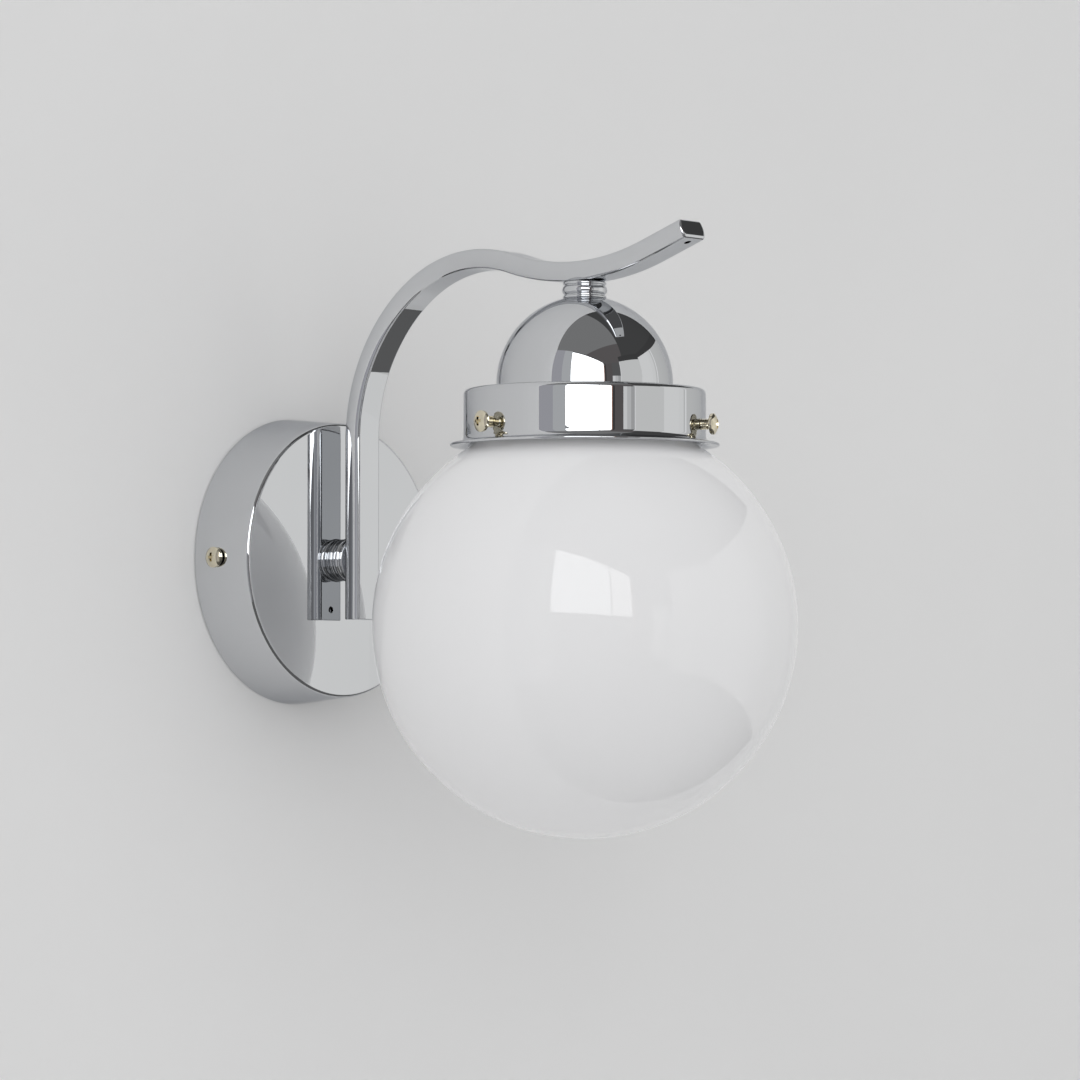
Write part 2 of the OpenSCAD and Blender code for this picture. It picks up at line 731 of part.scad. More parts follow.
module dome_nut() {
    color(brass) on_lamp_axis(dome_nut_z) hex_nut(nut_h);
}

// Half of the gallery's section: a plate with a round shoulder, a straight wall and a flared lip
module gallery_half() {
    outer_r = gallery_r;
    inner_r = outer_r - gallery_wall;
    hole_r = holder_skirt_d / 2 + 1;
    inner_shoulder_r = max(0.2, gallery_shoulder_r - gallery_wall);
    sweep_under_r = lip_sweep_r + gallery_wall;
    sweep_x = outer_r + lip_sweep_r;
    lip_end_x = lip_r - gallery_wall / 2;
    sweep_y = sweep_under_r - gallery_h;
    difference() {
        translate([0, -gallery_shoulder_r]) union() {
            square([outer_r - gallery_shoulder_r, gallery_shoulder_r]);
            translate([outer_r - gallery_shoulder_r, 0]) circle(gallery_shoulder_r);
            translate([0, -gallery_shoulder_r]) square([outer_r, gallery_shoulder_r]);
        }
        translate([0, -gallery_wall - inner_shoulder_r]) union() {
            square([inner_r - inner_shoulder_r, inner_shoulder_r]);
            translate([inner_r - inner_shoulder_r, 0]) circle(inner_shoulder_r);
            translate([0, -gallery_h]) square([inner_r, gallery_h]);
        }
        translate([0, -gallery_h]) square([hole_r, 2 * gallery_h]);
    }
    translate([inner_r, sweep_y])
        square([gallery_wall, gallery_h - gallery_shoulder_r - sweep_under_r]);
    translate([sweep_x, sweep_y]) difference() {
        intersection() {
            circle(sweep_under_r);
            translate([-sweep_under_r, -sweep_under_r]) square(sweep_under_r);
        }
        circle(lip_sweep_r);
    }
    translate([sweep_x, -gallery_h]) square([lip_end_x - sweep_x, gallery_wall]);
    translate([lip_end_x, gallery_wall / 2 - gallery_h]) circle(gallery_wall / 2);
}

module gallery() {
    color(chrome) on_lamp_axis(gallery_top_z) difference() {
        rotate_extrude() gallery_half();
        for (turn = [0:2]) rotate([0, 0, gallery_screw_angle + 120 * turn])
            translate([0, 0, -gallery_screw_drop]) rotate([0, 90, 0])
                cylinder(r = screw_d / 2 + thread_gap, h = 2 * gallery_r);
    }
}

// A gallery screw points at the lamp's axis and its tip stops just short of the globe's neck
module gallery_screw(turn) {
    tip_r = neck_r + gallery_screw_tip_gap;
    color(nickel_brass) on_lamp_axis(gallery_screw_z) rotate([0, 0, gallery_screw_angle + 120 * turn])
        translate([tip_r + gallery_screw_len, 0, 0]) rotate([0, 90, 0])
            pan_screw(screw_d, gallery_screw_len, screw_head_d, screw_head_h);
}

module gallery_screw_1() gallery_screw(0);
module gallery_screw_2() gallery_screw(1);
module gallery_screw_3() gallery_screw(2);

// The ring grips the lampholder's skirt and pulls the gallery up against the dome
module clamp_ring() {
    ring_edge_r = 0.8;
    color("dimgray") on_lamp_axis(gallery_top_z - gallery_wall - clamp_ring_h) difference() {
        rotate_extrude() {
            square([clamp_ring_d / 2 - ring_edge_r, clamp_ring_h]);
            translate([0, ring_edge_r]) square([clamp_ring_d / 2, clamp_ring_h - 2 * ring_edge_r]);
            for (z = [ring_edge_r, clamp_ring_h - ring_edge_r])
                translate([clamp_ring_d / 2 - ring_edge_r, z]) circle(ring_edge_r);
        }
        bar(holder_skirt_d / 2 + thread_gap, -cut, clamp_ring_h + cut);
    }
}

// Half of the lampholder cap's section, with its shoulder rounded down to the neck
module holder_cap_half(radius, neck_radius, shoulder_r, top, shoulder_z) {
    square([radius, shoulder_z - shoulder_r]);
    square([radius - shoulder_r, shoulder_z]);
    translate([radius - shoulder_r, shoulder_z - shoulder_r]) circle(shoulder_r);
    square([neck_radius, top]);
}

module holder_cap() {
    radius = holder_cap_d / 2;
    shoulder_z = holder_cap_h - holder_neck_h;
    color("dimgray") on_lamp_axis(holder_joint_z) difference() {
        rotate_extrude() difference() {
            holder_cap_half(radius, holder_neck_r, holder_shoulder_r, holder_cap_h, shoulder_z);
            translate([0, -holder_wall]) holder_cap_half(radius - holder_wall,
                holder_neck_r, holder_shoulder_r - holder_wall, shoulder_z, shoulder_z);
        }
        bar(tube_d / 2 + thread_gap, shoulder_z - 2 * holder_wall, holder_cap_h + cut);
    }
}

// The skirt screws into the cap with a narrower spigot
module holder_skirt() {
    bottom_r = 1;
    outer_r = holder_skirt_d / 2;
    color("dimgray") on_lamp_axis(holder_bottom_z) rotate_extrude() difference() {
        union() {
            translate([0, bottom_r]) square([outer_r, holder_skirt_len - bottom_r]);
            square([outer_r - bottom_r, holder_skirt_len]);
            translate([outer_r - bottom_r, bottom_r]) circle(bottom_r);
            square([holder_thread_r, holder_skirt_len + holder_spigot_h]);
        }
        translate([0, -cut]) square([outer_r - holder_wall, holder_skirt_len]);
        square([holder_thread_r - holder_wall, holder_skirt_len + holder_spigot_h + cut]);
    }
}

module holder_insert() {
    boss_r = shell_r + shell_t;
    color("white") on_lamp_axis(holder_joint_z + holder_spigot_h) {
        bar(holder_thread_r, 0, insert_h);
        bar(boss_r, -insert_boss_h, 0);
    }
}

module holder_shell() {
    ring_hole_r = 6;
    color(brass) on_lamp_axis(shell_top_z) difference() {
        bar(shell_r + shell_t, -shell_len, 0);
        bar(shell_r, -shell_len - cut, -shell_t);
        bar(ring_hole_r, -shell_t - cut, cut);
    }
}

module holder_contact() {
    color(brass) on_lamp_axis(0) {
        bar(contact_r, contact_z, contact_z + contact_t);
        bar(contact_stem_r, contact_z, shell_top_z);
    }
}

module bulb_cap() {
    cap_r = bulb_cap_d / 2;
    color("silver") on_lamp_axis(0) difference() {
        union() {
            bar(bulb_tip_r, bulb_tip_z - bulb_tip_h, bulb_tip_z);
            translate([0, 0, bulb_cap_top_z])
                cylinder(r1 = cap_r - bulb_cap_t, r2 = bulb_tip_r, h = bulb_cone_h);
            bar(cap_r, bulb_cap_top_z - bulb_cap_h, bulb_cap_top_z);
        }
        bar(cap_r - bulb_cap_t, bulb_cap_top_z - bulb_cap_h - cut, bulb_cap_top_z - bulb_cap_t);
    }
}

// Half of the bulb's outline: a ball, a straight shoulder tangent to it, and a neck inside the cap
module bulb_half(ball_r, neck_radius, plug_h) {
    rise = bulb_neck_z - bulb_ball_z;
    reach = norm([neck_radius, rise]);
    touch_angle = atan2(rise, neck_radius) - acos(ball_r / reach);
    touch = on_circle([0, 0], ball_r, touch_angle);
    intersection() {
        circle(ball_r);
        translate([0, -ball_r]) square([ball_r, 2 * ball_r]);
    }
    polygon([[0, 0], touch, [neck_radius, rise], [neck_radius, rise + plug_h], [0, rise + plug_h]]);
}

module bulb_glass() {
    neck_radius = bulb_cap_d / 2 - bulb_cap_t - thread_gap;
    color(opal) on_lamp_axis(bulb_ball_z) rotate_extrude() difference() {
        bulb_half(bulb_d / 2, neck_radius, bulb_plug_h);
        bulb_half(bulb_d / 2 - bulb_wall, neck_radius - bulb_wall, bulb_plug_h + cut);
    }
}

// The globe hangs by its bead on the three gallery screws
module globe() {
    inner_r = globe_r - globe_wall;
    mouth_r = neck_r - globe_wall;
    bead_bottom = ball_top + neck_h;
    color(opal) on_lamp_axis(globe_z) rotate_extrude() difference() {
        union() {
            intersection() {
                circle(globe_r);
                translate([0, -globe_r]) square([globe_r, 2 * globe_r]);
            }
            square([neck_r, bead_bottom + bead_h - bead_r]);
            translate([0, bead_bottom]) square([bead_outer_r - bead_r, bead_h]);
            translate([0, bead_bottom + bead_r]) square([bead_outer_r, bead_h - 2 * bead_r]);
            for (z = [bead_r, bead_h - bead_r])
                translate([bead_outer_r - bead_r, bead_bottom + z]) circle(bead_r);
        }
        intersection() {
            circle(inner_r);
            translate([0, -inner_r]) square([inner_r, 2 * inner_r]);
        }
        square([mouth_r, bead_bottom + bead_h + cut]);
    }
}

// One wire, from the terminal block through the canopy's tube, the arm and the lamp's tube.
// Inside the canopy it slants out to its pole, and straightens just above the block.
module wire(side) {
    offset_x = side * wire_pitch / 2;
    kink_drop = -block_top_z - 1;
    spread = (pole_pitch - wire_pitch) / 2;
    slant = atan2(spread, kink_drop);
    fall = norm([spread, kink_drop]);
    turn_y = pole_y + wire_drop_r;
    entry_z = wire_bend_r;
    end_z = holder_joint_z + holder_spigot_h + insert_h + seat_gap;
    in_arm_plane() translate([0, 0, -offset_x]) {
        arm_run(entry_z, dip_low_angle, lap) wire_section();
        bend([arm_mid - entry_z, entry_z], entry_z, 270, 360, trim = lap_trim) wire_section();
        straight([turn_y, 0], 0, arm_mid - entry_z - turn_y, [lap, lap]) wire_section();
        rotate([side * slant, 0, 0]) {
            bend([turn_y, -wire_drop_r], wire_drop_r, 90, 180, trim = lap_trim) wire_section();
            straight([pole_y, -fall], 90, fall - wire_drop_r, [0, lap]) wire_section();
        }
        translate([pole_y, -kink_drop, -side * spread]) sphere(wire_d / 2 + lap_trim, $fn = 24);
        translate([0, 0, -side * spread]) straight([pole_y, -wire_depth - kink_drop], 90, wire_depth,
            trim = lap_trim) wire_section();
        bend([dip[0], dip_z - wire_bend_r], wire_bend_r, 0, 90, [lap, lap]) wire_section();
        straight([lamp_reach, end_z], 90, dip_z - wire_bend_r - end_z, trim = lap_trim) wire_section();
    }
}

module live_wire() {
    color("saddlebrown") wire(-1);
}

module neutral_wire() {
    color("steelblue") wire(1);
}

canopy();
wall_bracket();
canopy_screw_left();
canopy_screw_right();
earth_screw();
terminal_block();
terminal_tubes();
terminal_screws();
block_screw();
centre_tube();
centre_washer();
centre_nut();
canopy_spacer();
arm();
arm_tip_cap();
arm_foot_cap();
wall_nut_plate();
dome_nut_plate();
dome_spacer();
dome_tube();
dome();
dome_washer();
dome_nut();
gallery();
clamp_ring();
gallery_screw_1();
gallery_screw_2();
gallery_screw_3();
holder_cap();
holder_skirt();
holder_insert();
holder_shell();
holder_contact();
bulb_cap();
bulb_glass();
globe();
live_wire();
neutral_wire();
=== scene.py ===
"""Dresses the globe wall lamp: chrome pressings, a swept arm, an opal globe and their studio.

Every length is in metres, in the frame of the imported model: the wall is the plane Y = 0, the
lamp reaches out along -Y, and +Z is up.
"""

import math

import bmesh
import bpy
from bpy.props import FloatProperty, FloatVectorProperty, IntProperty, PointerProperty
from mathutils import Matrix, Vector


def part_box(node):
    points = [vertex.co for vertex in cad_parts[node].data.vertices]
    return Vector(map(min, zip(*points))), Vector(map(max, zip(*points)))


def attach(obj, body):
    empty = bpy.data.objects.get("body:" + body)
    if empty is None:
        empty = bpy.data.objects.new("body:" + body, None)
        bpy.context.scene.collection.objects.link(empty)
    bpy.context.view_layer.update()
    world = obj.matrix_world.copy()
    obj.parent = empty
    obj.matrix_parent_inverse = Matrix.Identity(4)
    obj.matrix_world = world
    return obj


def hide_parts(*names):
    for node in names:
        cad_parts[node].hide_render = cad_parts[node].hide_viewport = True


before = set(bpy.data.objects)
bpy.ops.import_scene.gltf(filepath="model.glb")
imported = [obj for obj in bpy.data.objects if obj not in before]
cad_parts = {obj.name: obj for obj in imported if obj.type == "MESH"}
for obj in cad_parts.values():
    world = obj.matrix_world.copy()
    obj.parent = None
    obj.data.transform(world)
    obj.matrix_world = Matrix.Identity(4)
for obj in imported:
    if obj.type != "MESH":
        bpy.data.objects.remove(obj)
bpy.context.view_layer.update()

bl_info = {
    "name": "Globe wall lamp",
    "version": (1, 0, 0),
    "blender": (4, 5, 0),
    "location": "3D View > Sidebar > Wall lamp",
    "description": "Builds a chrome wall lamp with an opal globe around its packed model",
    "category": "Add Mesh",
}

FRAME_BODY = "lamp_frame"
# Weight of the large faces in the shading
EVEN_WEIGHT = 80
UP = Vector((0, 0, 1))
# Steps along the curves of a section and round the small turned pieces
CORNER_STEPS = 6
RING_STEPS = 12
RIM_STEPS = 14
BELLY_STEPS = 16
SWEEP_STEPS = 20
BEND_STEPS = 44
DOME_STEPS = 72
HOLLOW_STEPS = 96
BALL_STEPS = 120
VENT_SIDES = 32
WALL_SIDES = 96
SCREW_SPIN_STEPS = 64
SPACER_SPIN_STEPS = 96
# Steps in one turn of a screw's thread, and how far its recess narrows towards its floor
THREAD_STEPS = 24
RECESS_TAPER = (0.45, 0.7, 1)
# The part of a noise texture's range that a finish is spread over
NOISE_RANGE = (0.3, 0.7)
# The camera's sensor in millimetres, and the nearest and farthest that it sees
SENSOR_WIDTH = 36
VIEW_RANGE = (0.05, 50)
# Turns a shape drawn up Z so that it points from the wall into the room
FROM_WALL = Matrix.Rotation(math.radians(90), 4, "X")


def length(name, description, default, **limits):
    """A length in metres as a property."""
    return FloatProperty(
        name=name, description=description, default=default, unit="LENGTH", precision=5, **limits
    )


def colour(name, description, default):
    """A colour as a property."""
    return FloatVectorProperty(
        name=name, description=description, default=default, subtype="COLOR", min=0, max=1
    )


class WallLampSizes(bpy.types.PropertyGroup):
    """Sizes of the lamp's dressed pieces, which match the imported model."""

    spin_steps: IntProperty(
        name="Spin steps", description="Steps round a turned piece", default=192, min=48, max=256
    )
    sheet: length("Sheet", "Thickness of the chrome sheet", 0.001)
    canopy_front: length("Canopy front radius", "Radius of the canopy's flat front", 0.0503)
    canopy_edge: length("Canopy edge", "Radius of the canopy's front edge", 0.0014)
    canopy_rim: length("Canopy rim", "Radius of the edges of the canopy's rim", 0.0002)
    tube_hole: length("Tube hole", "Radius of the holes for the threaded tubes", 0.00415)
    screw_hole: length("Screw hole", "Radius of the gallery's holes for its screws", 0.00205)
    side_hole: length("Side hole", "Radius of the canopy's holes for its screws", 0.00215)
    groove: length("Spacer groove", "Radius at a spacer's grooves", 0.0071)
    ring_height: length("Spacer ring", "Height of a spacer's end rings", 0.0012)
    arm_width: length("Arm width", "Width of the flat tube", 0.0132)
    arm_depth: length("Arm thickness", "Thickness of the flat tube", 0.007)
    arm_edge: length("Arm edge", "Radius of the tube's long edges", 0.0011)
    arm_side: length("Arm side", "Radius of the tube's crowned narrow sides", 0.0056)
    arm_rise: length("Arm rise", "Height at which the arm starts to bend", 0.0438)
    first_bend: length("First bend", "Radius of the first bend", 0.0643)
    top_bend: length("Top bend", "Radius of the bend over the top", 0.0544)
    dip_bend: length("Dip", "Radius of the upward bend over the globe", 0.095)
    tip_length: length("Tip", "Length of the straight stretch at the tip", 0.0179)
    cap_thickness: length("End cap", "Thickness of the arm's end caps", 0.0012)
    foot_edge: length("Foot cap edge", "Radius of the foot cap's rim", 0.0003)
    tip_edge: length("Tip cap edge", "Radius of the tip cap's rim", 0.0011)
    plug_depth: length("Cap plug", "Depth of a cap's plug in the tube", 0.0009)
    plug_gap: length("Plug gap", "Gap round a cap's plug", 0.00005)
    vent: length("Vent", "Radius of the vent hole near each end of the arm", 0.00125)
    vent_inset: length("Vent inset", "Distance of a vent from its end", 0.0039)
    dome: length("Dome radius", "Outside radius of the dome", 0.0312)
    dome_foot: length("Dome foot", "Height of the dome's straight foot", 0.0019)
    dome_rim: length("Dome rim", "Radius of the edges of the dome's rim", 0.00025)
    collar: length("Collar radius", "Outside radius of the gallery's collar", 0.0428)
    shoulder: length("Shoulder", "Radius of the collar's shoulder", 0.0018)
    lip: length("Lip radius", "Outside radius of the gallery's lip", 0.0476)
    lip_sweep: length("Lip sweep", "Radius of the sweep out to the lip", 0.0026)
    gallery_hole: length("Gallery hole", "Radius of the hole for the lampholder", 0.0198)
    globe: length("Globe radius", "Outside radius of the glass ball", 0.075)
    glass: length("Glass", "Thickness of the globe's glass", 0.0026)
    neck: length("Neck radius", "Outside radius of the globe's neck", 0.0382)
    bead: length("Bead radius", "Outside radius of the globe's bead", 0.041)
    bead_height: length("Bead height", "Height of the globe's bead", 0.0064)
    bead_edge: length("Bead edge", "Radius of the bead's edges", 0.0015)
    mouth_edge: length("Mouth edge", "Radius of the mouth's inner edge", 0.001)
    neck_edge: length("Neck edge", "Radius of the corner under the bead", 0.0006)
    head: length("Screw head", "Radius of a screw's head", 0.00375)
    head_height: length("Head height", "Height of a screw's head", 0.0025)
    thread: length("Thread", "Radius of a screw's thread", 0.002)
    pitch: length("Pitch", "Pitch of a screw's thread", 0.0007)
    crown: length("Crown", "Height of a screw's rounded crown", 0.001375)
    head_edge: length("Head edge", "Radius of the edge under a screw's crown", 0.00025)
    core: length("Core", "Radius of a shank between the turns of its thread", 0.00165)
    collar_end: length("Shank collar", "Length of the full shank under the head", 0.0004)
    core_start: length("Core start", "Distance of the shank's core from the head", 0.0007)
    point: length("Point", "Length and depth of the bevel at a screw's end", 0.0004)
    point_edge: length("Point edge", "Radius of the edge of a screw's end", 0.0001)
    ridge: length("Ridge", "Width of the thread's ridge at its foot", 0.0004)
    ridge_foot: length("Ridge foot", "Depth of the thread's ridge in the core", 0.0001)
    plain: length("Plain shank", "Length of a shank that its thread leaves plain", 0.0014)
    recess_length: length("Recess length", "Length of a cross recess's slots", 0.004725)
    recess_width: length("Recess width", "Width of a cross recess's slots", 0.001275)
    recess_depth: length("Recess depth", "Depth of a cross recess", 0.0015)


class WallLampFinishes(bpy.types.PropertyGroup):
    """Colours of the lamp's finishes."""

    chrome: colour("Chrome", "Polished chrome", (0.66, 0.67, 0.685))
    screw: colour("Screws", "Nickel-plated brass", (0.74, 0.68, 0.53))
    zinc: colour("Zinc", "Zinc-plated steel", (0.56, 0.58, 0.60))
    brass: colour("Brass", "Plain brass", (0.78, 0.56, 0.26))
    opal: colour("Opal", "Opal glass of the globe", (0.748, 0.748, 0.757))
    holder: colour("Lampholder", "Moulded lampholder plastic", (0.035, 0.035, 0.038))
    ceramic: colour("Ceramic", "Glazed ceramic", (0.80, 0.79, 0.76))
    block: colour("Terminal block", "Moulded terminal block", (0.74, 0.71, 0.62))
    live: colour("Live wire", "Sleeve of the live wire", (0.16, 0.055, 0.02))
    neutral: colour("Neutral wire", "Sleeve of the neutral wire", (0.02, 0.10, 0.36))
    bulb_cap: colour("Bulb cap", "Nickel-plated aluminium", (0.66, 0.66, 0.64))


class WallLampStudio(bpy.types.PropertyGroup):
    """The camera, the room and the lights."""

    lens: FloatProperty(
        name="Lens", description="Focal length", default=164.54, subtype="DISTANCE_CAMERA"
    )
    place: FloatVectorProperty(
        name="Camera", description="Place of the camera", unit="LENGTH",
        default=(-1.33585, -1.25207, -0.06746),
    )
    yaw: FloatProperty(
        name="Yaw", description="Turn of the camera from +Y towards +X", subtype="ANGLE",
        default=math.radians(49.704),
    )
    pitch: FloatProperty(
        name="Pitch", description="Upward tilt of the camera", subtype="ANGLE",
        default=math.radians(2.367),
    )
    wall: colour("Wall", "Painted wall and floor", (0.815, 0.815, 0.815))
    ground: colour("Ground", "What the camera sees past the wall and floor", (0.9, 0.9, 0.9))
    wall_hole: length("Wall hole", "Radius of the wall's opening behind the canopy", 0.05)
    wall_gap: length("Wall gap", "Gap between the wall and the canopy", 0.0004)
    reach: length("Room reach", "Radius of the wall and half the floor's side", 3.0)
    drop: length("Floor", "Depth of the floor under the middle of the canopy", 0.6)
    sky: FloatProperty(
        name="Room light", description="Brightness of the light from all round", default=0.8
    )
    sky_slope: FloatProperty(
        name="Room slope", description="How much more of it comes from the left", default=0.2
    )
    light_distance: length("Light distance", "Distance of the lights from the lamp", 2.3)


def sizes():
    """The lamp's sizes."""
    return bpy.context.scene.wall_lamp_sizes


def finishes():
    """The lamp's finishes."""
    return bpy.context.scene.wall_lamp_finishes


def studio():
    """The camera, room and light settings."""
    return bpy.context.scene.wall_lamp_studio


def lamp_axis(height=0.0):
    """Moves a shape drawn round the origin to the lamp's axis at a height."""
    low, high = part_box("globe")
    return Matrix.Translation((0, (low.y + high.y) / 2, height))


def only(kind, parts):
    """The vertices, edges or faces among an operator's results."""
    return [part for part in parts if isinstance(part, kind)]


class Section:
    """Half a section, drawn with X as the radius and Z as the height, and spun round Z."""

    def __init__(self, radius, height):
        self.mesh = bmesh.new()
        self.start = self.mesh.verts.new((radius, 0, height))
        self.tip = self.start
        self.corners = []

    def line(self, radius, height, corner=0.0):
        """Draws a straight line to a point, whose corner gets a radius before the spin."""
        made = bmesh.ops.extrude_vert_indiv(self.mesh, verts=[self.tip])
        self.tip = made["verts"][0]
        self.tip.co = (radius, 0, height)
        if corner:
            self.corners.append((self.tip, corner))
        return self

    def arc(self, radius, height, degrees, steps):
        """Turns the tip about a point. Positive degrees turn from +X towards +Z."""
        made = spun_about(
            self.mesh, [self.tip], (radius, 0, height), (0, -1, 0), math.radians(degrees), steps
        )
        self.tip = only(bmesh.types.BMVert, made)[0]
        return self

    def jump(self, radius, height):
        """Starts a new line elsewhere."""
        self.tip = self.mesh.verts.new((radius, 0, height))
        return self

    def close(self):
        """Joins the tip to the start."""
        self.mesh.edges.new((self.tip, self.start))
        return self

    def spun(self, steps=None):
        """Rounds the corners and spins the section into a shell."""
        for corner, radius in self.corners:
            reach = [edge.other_vert(corner).co - corner.co for edge in corner.link_edges]
            rounded(self.mesh, [corner], radius / math.tan(reach[0].angle(reach[1]) / 2))
        bmesh.ops.spin(
            self.mesh, geom=self.mesh.verts[:] + self.mesh.edges[:], cent=(0, 0, 0),
            axis=(0, 0, 1), dvec=(0, 0, 0), angle=math.tau, steps=steps or sizes().spin_steps,
            use_merge=True, use_duplicate=False,
        )
        return cleaned(self.mesh)


def rounded(mesh, parts, offset, affect="VERTICES"):
    """Rounds some vertices or edges, which start to turn at an offset from the corner."""
    bmesh.ops.bevel(
        mesh, geom=parts, offset=offset, offset_type="OFFSET", segments=CORNER_STEPS,
        profile=0.5, affect=affect, material=-1,
    )


def spun_about(mesh, parts, centre, axis, angle, steps, shift=(0, 0, 0)):
    """Spins some parts about an axis, with a shift at each step, and returns the last ones."""
    return bmesh.ops.spin(
        mesh, geom=parts, cent=centre, axis=axis, dvec=shift, angle=angle, steps=steps,
        use_duplicate=False,
    )["geom_last"]


def cleaned(mesh):
    """Merges doubles and points the faces outwards."""
    bmesh.ops.remove_doubles(mesh, verts=mesh.verts[:], dist=1e-7)
    bmesh.ops.recalc_face_normals(mesh, faces=mesh.faces[:])
    return mesh


def bar(radius, start, end, segments=48):
    """A round bar from one point to another, used as a drill."""
    mesh = bmesh.new()
    span = Vector(end) - Vector(start)
    turn = span.to_track_quat("Z", "Y").to_matrix().to_4x4()
    middle = Matrix.Translation((Vector(start) + Vector(end)) / 2)
    bmesh.ops.create_cone(
        mesh, cap_ends=True, cap_tris=False, segments=segments, radius1=radius, radius2=radius,
        depth=span.length, matrix=middle @ turn,
    )
    return mesh


def held(mesh, name="tool"):
    """Puts a mesh in the scene as an object."""
    data = bpy.data.meshes.new(name)
    mesh.to_mesh(data)
    mesh.free()
    made = bpy.data.objects.new(name, data)
    bpy.context.scene.collection.objects.link(made)
    return made


def carved(mesh, *cutters):
    """Cuts the cutters' shapes out of a mesh and returns what is left."""
    target = held(mesh)
    tools = [held(cutter) for cutter in cutters]
    for tool in tools:
        cut = target.modifiers.new("Cut", "BOOLEAN")
        cut.operation = "DIFFERENCE"
        cut.solver = "EXACT"
        cut.object = tool
    left = bmesh.new()
    left.from_object(target, bpy.context.evaluated_depsgraph_get())
    for made in [target, *tools]:
        data = made.data
        bpy.data.objects.remove(made)
        bpy.data.meshes.remove(data)
    if not left.faces:
        raise RuntimeError("a cut left nothing of its piece")
    return left


def piece(name, mesh, place, slot, nodes, body=FRAME_BODY, sharp=38):
    """Makes the finished piece of a mesh that stands for its CAD nodes and rides on a body.

    Edges that turn by more than the sharp angle, in degrees, are drawn as sharp.
    """
    bmesh.ops.transform(mesh, matrix=place, verts=mesh.verts[:])
    made = held(mesh, name)
    made.data.name = name
    made.data.shade_smooth()
    made.data.set_sharp_from_angle(angle=math.radians(sharp))
    made.data.materials.append(finish(slot))
    even = made.modifiers.new("Even shading", "WEIGHTED_NORMAL")
    even.keep_sharp = True
    even.weight = EVEN_WEIGHT
    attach(made, body)
    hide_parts(*nodes)
    return made


class Finish:
    """A node material whose textures lie on the piece's own coordinates."""

    def __init__(self, name, base, **numbers):
        self.material = bpy.data.materials.new(name)
        self.material.use_nodes = True
        self.nodes = self.material.node_tree.nodes
        self.links = self.material.node_tree.links
        self.shader = self.nodes["Principled BSDF"]
        self.shader.inputs["Base Color"].default_value = (*base, 1)
        self.base = base
        for socket, value in numbers.items():
            self.shader.inputs[socket.replace("_", " ")].default_value = value

    def noise(self, scale, detail=3.0, stretch=(1, 1, 1)):
        """A cloudy texture, with its scale in repeats a metre."""
        where = self.nodes.new("ShaderNodeTexCoord")
        turn = self.nodes.new("ShaderNodeMapping")
        turn.inputs["Scale"].default_value = stretch
        made = self.nodes.new("ShaderNodeTexNoise")
        made.inputs["Scale"].default_value = scale
        made.inputs["Detail"].default_value = detail
        self.links.new(where.outputs["Object"], turn.inputs["Vector"])
        self.links.new(turn.outputs["Vector"], made.inputs["Vector"])
        return made.outputs[0]

    def spread(self, source, socket, low, high):
        """Sends a texture to a number of the shader, from low to high."""
        made = self.nodes.new("ShaderNodeMapRange")
        made.inputs["From Min"].default_value = NOISE_RANGE[0]
        made.inputs["From Max"].default_value = NOISE_RANGE[1]
        made.inputs["To Min"].default_value = low
        made.inputs["To Max"].default_value = high
        self.links.new(source, made.inputs["Value"])
        self.links.new(made.outputs["Result"], self.shader.inputs[socket])
        return self

    def shade(self, source, low, high):
        """Varies the base colour between two strengths."""
        made = self.nodes.new("ShaderNodeValToRGB")
        first, last = made.color_ramp.elements
        first.position, last.position = NOISE_RANGE
        first.color = (*(part * low for part in self.base), 1)
        last.color = (*(min(1.0, part * high) for part in self.base), 1)
        self.links.new(source, made.inputs["Fac"])
        self.links.new(made.outputs["Color"], self.shader.inputs["Base Color"])
        return self

    def bump(self, source, strength, distance):
        """Raises the surface by a texture."""
        made = self.nodes.new("ShaderNodeBump")
        made.inputs["Strength"].default_value = strength
        made.inputs["Distance"].default_value = distance
        self.links.new(source, made.inputs["Height"])
        self.links.new(made.outputs["Normal"], self.shader.inputs["Normal"])
        return self


def finish(slot):
    """The material of one of the record's slots, made once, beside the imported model's own."""
    name = f"{slot}_finish"
    return bpy.data.materials.get(name) or FINISHES[slot](name).material


def chrome(name):
    """Polished chrome with faint wiping marks."""
    made = Finish(name, finishes().chrome, Metallic=1.0, Specular_Tint=(0.7, 0.71, 0.73, 1))
    made.shade(made.noise(22, 2), 0.985, 1.015)
    made.spread(made.noise(60, 5, (1, 1, 3)), "Roughness", 0.004, 0.016)
    return made.bump(made.noise(350, 2), 0.01, 0.0001)


def screw_metal(name):
    """Bright nickel-plated brass, slightly dulled."""
    made = Finish(name, finishes().screw, Metallic=1.0)
    made.shade(made.noise(500, 3), 0.9, 1.08)
    made.spread(made.noise(900, 4), "Roughness", 0.03, 0.08)
    return made.bump(made.noise(2500, 3), 0.06, 0.00003)


def zinc_steel(name):
    """Zinc-plated steel with its mottled skin."""
    made = Finish(name, finishes().zinc, Metallic=1.0)
    made.shade(made.noise(700, 6), 0.86, 1.1)
    made.spread(made.noise(240, 5), "Roughness", 0.26, 0.48)
    return made.bump(made.noise(1600, 4), 0.12, 0.00008)


def brass(name):
    """Turned brass with fine tool marks."""
    made = Finish(name, finishes().brass, Metallic=1.0)
    made.shade(made.noise(300, 3), 0.88, 1.1)
    made.spread(made.noise(700, 4), "Roughness", 0.2, 0.36)
    return made.bump(made.noise(900, 2, (1, 1, 8)), 0.15, 0.00006)


def moulded(name, base, low, high, grain):
    """Moulded plastic with a fine grain."""
    made = Finish(name, base)
    made.shade(made.noise(90, 3), 0.92, 1.06)
    made.spread(made.noise(400, 3), "Roughness", low, high)
    return made.bump(made.noise(grain, 2), 0.2, 0.00008)


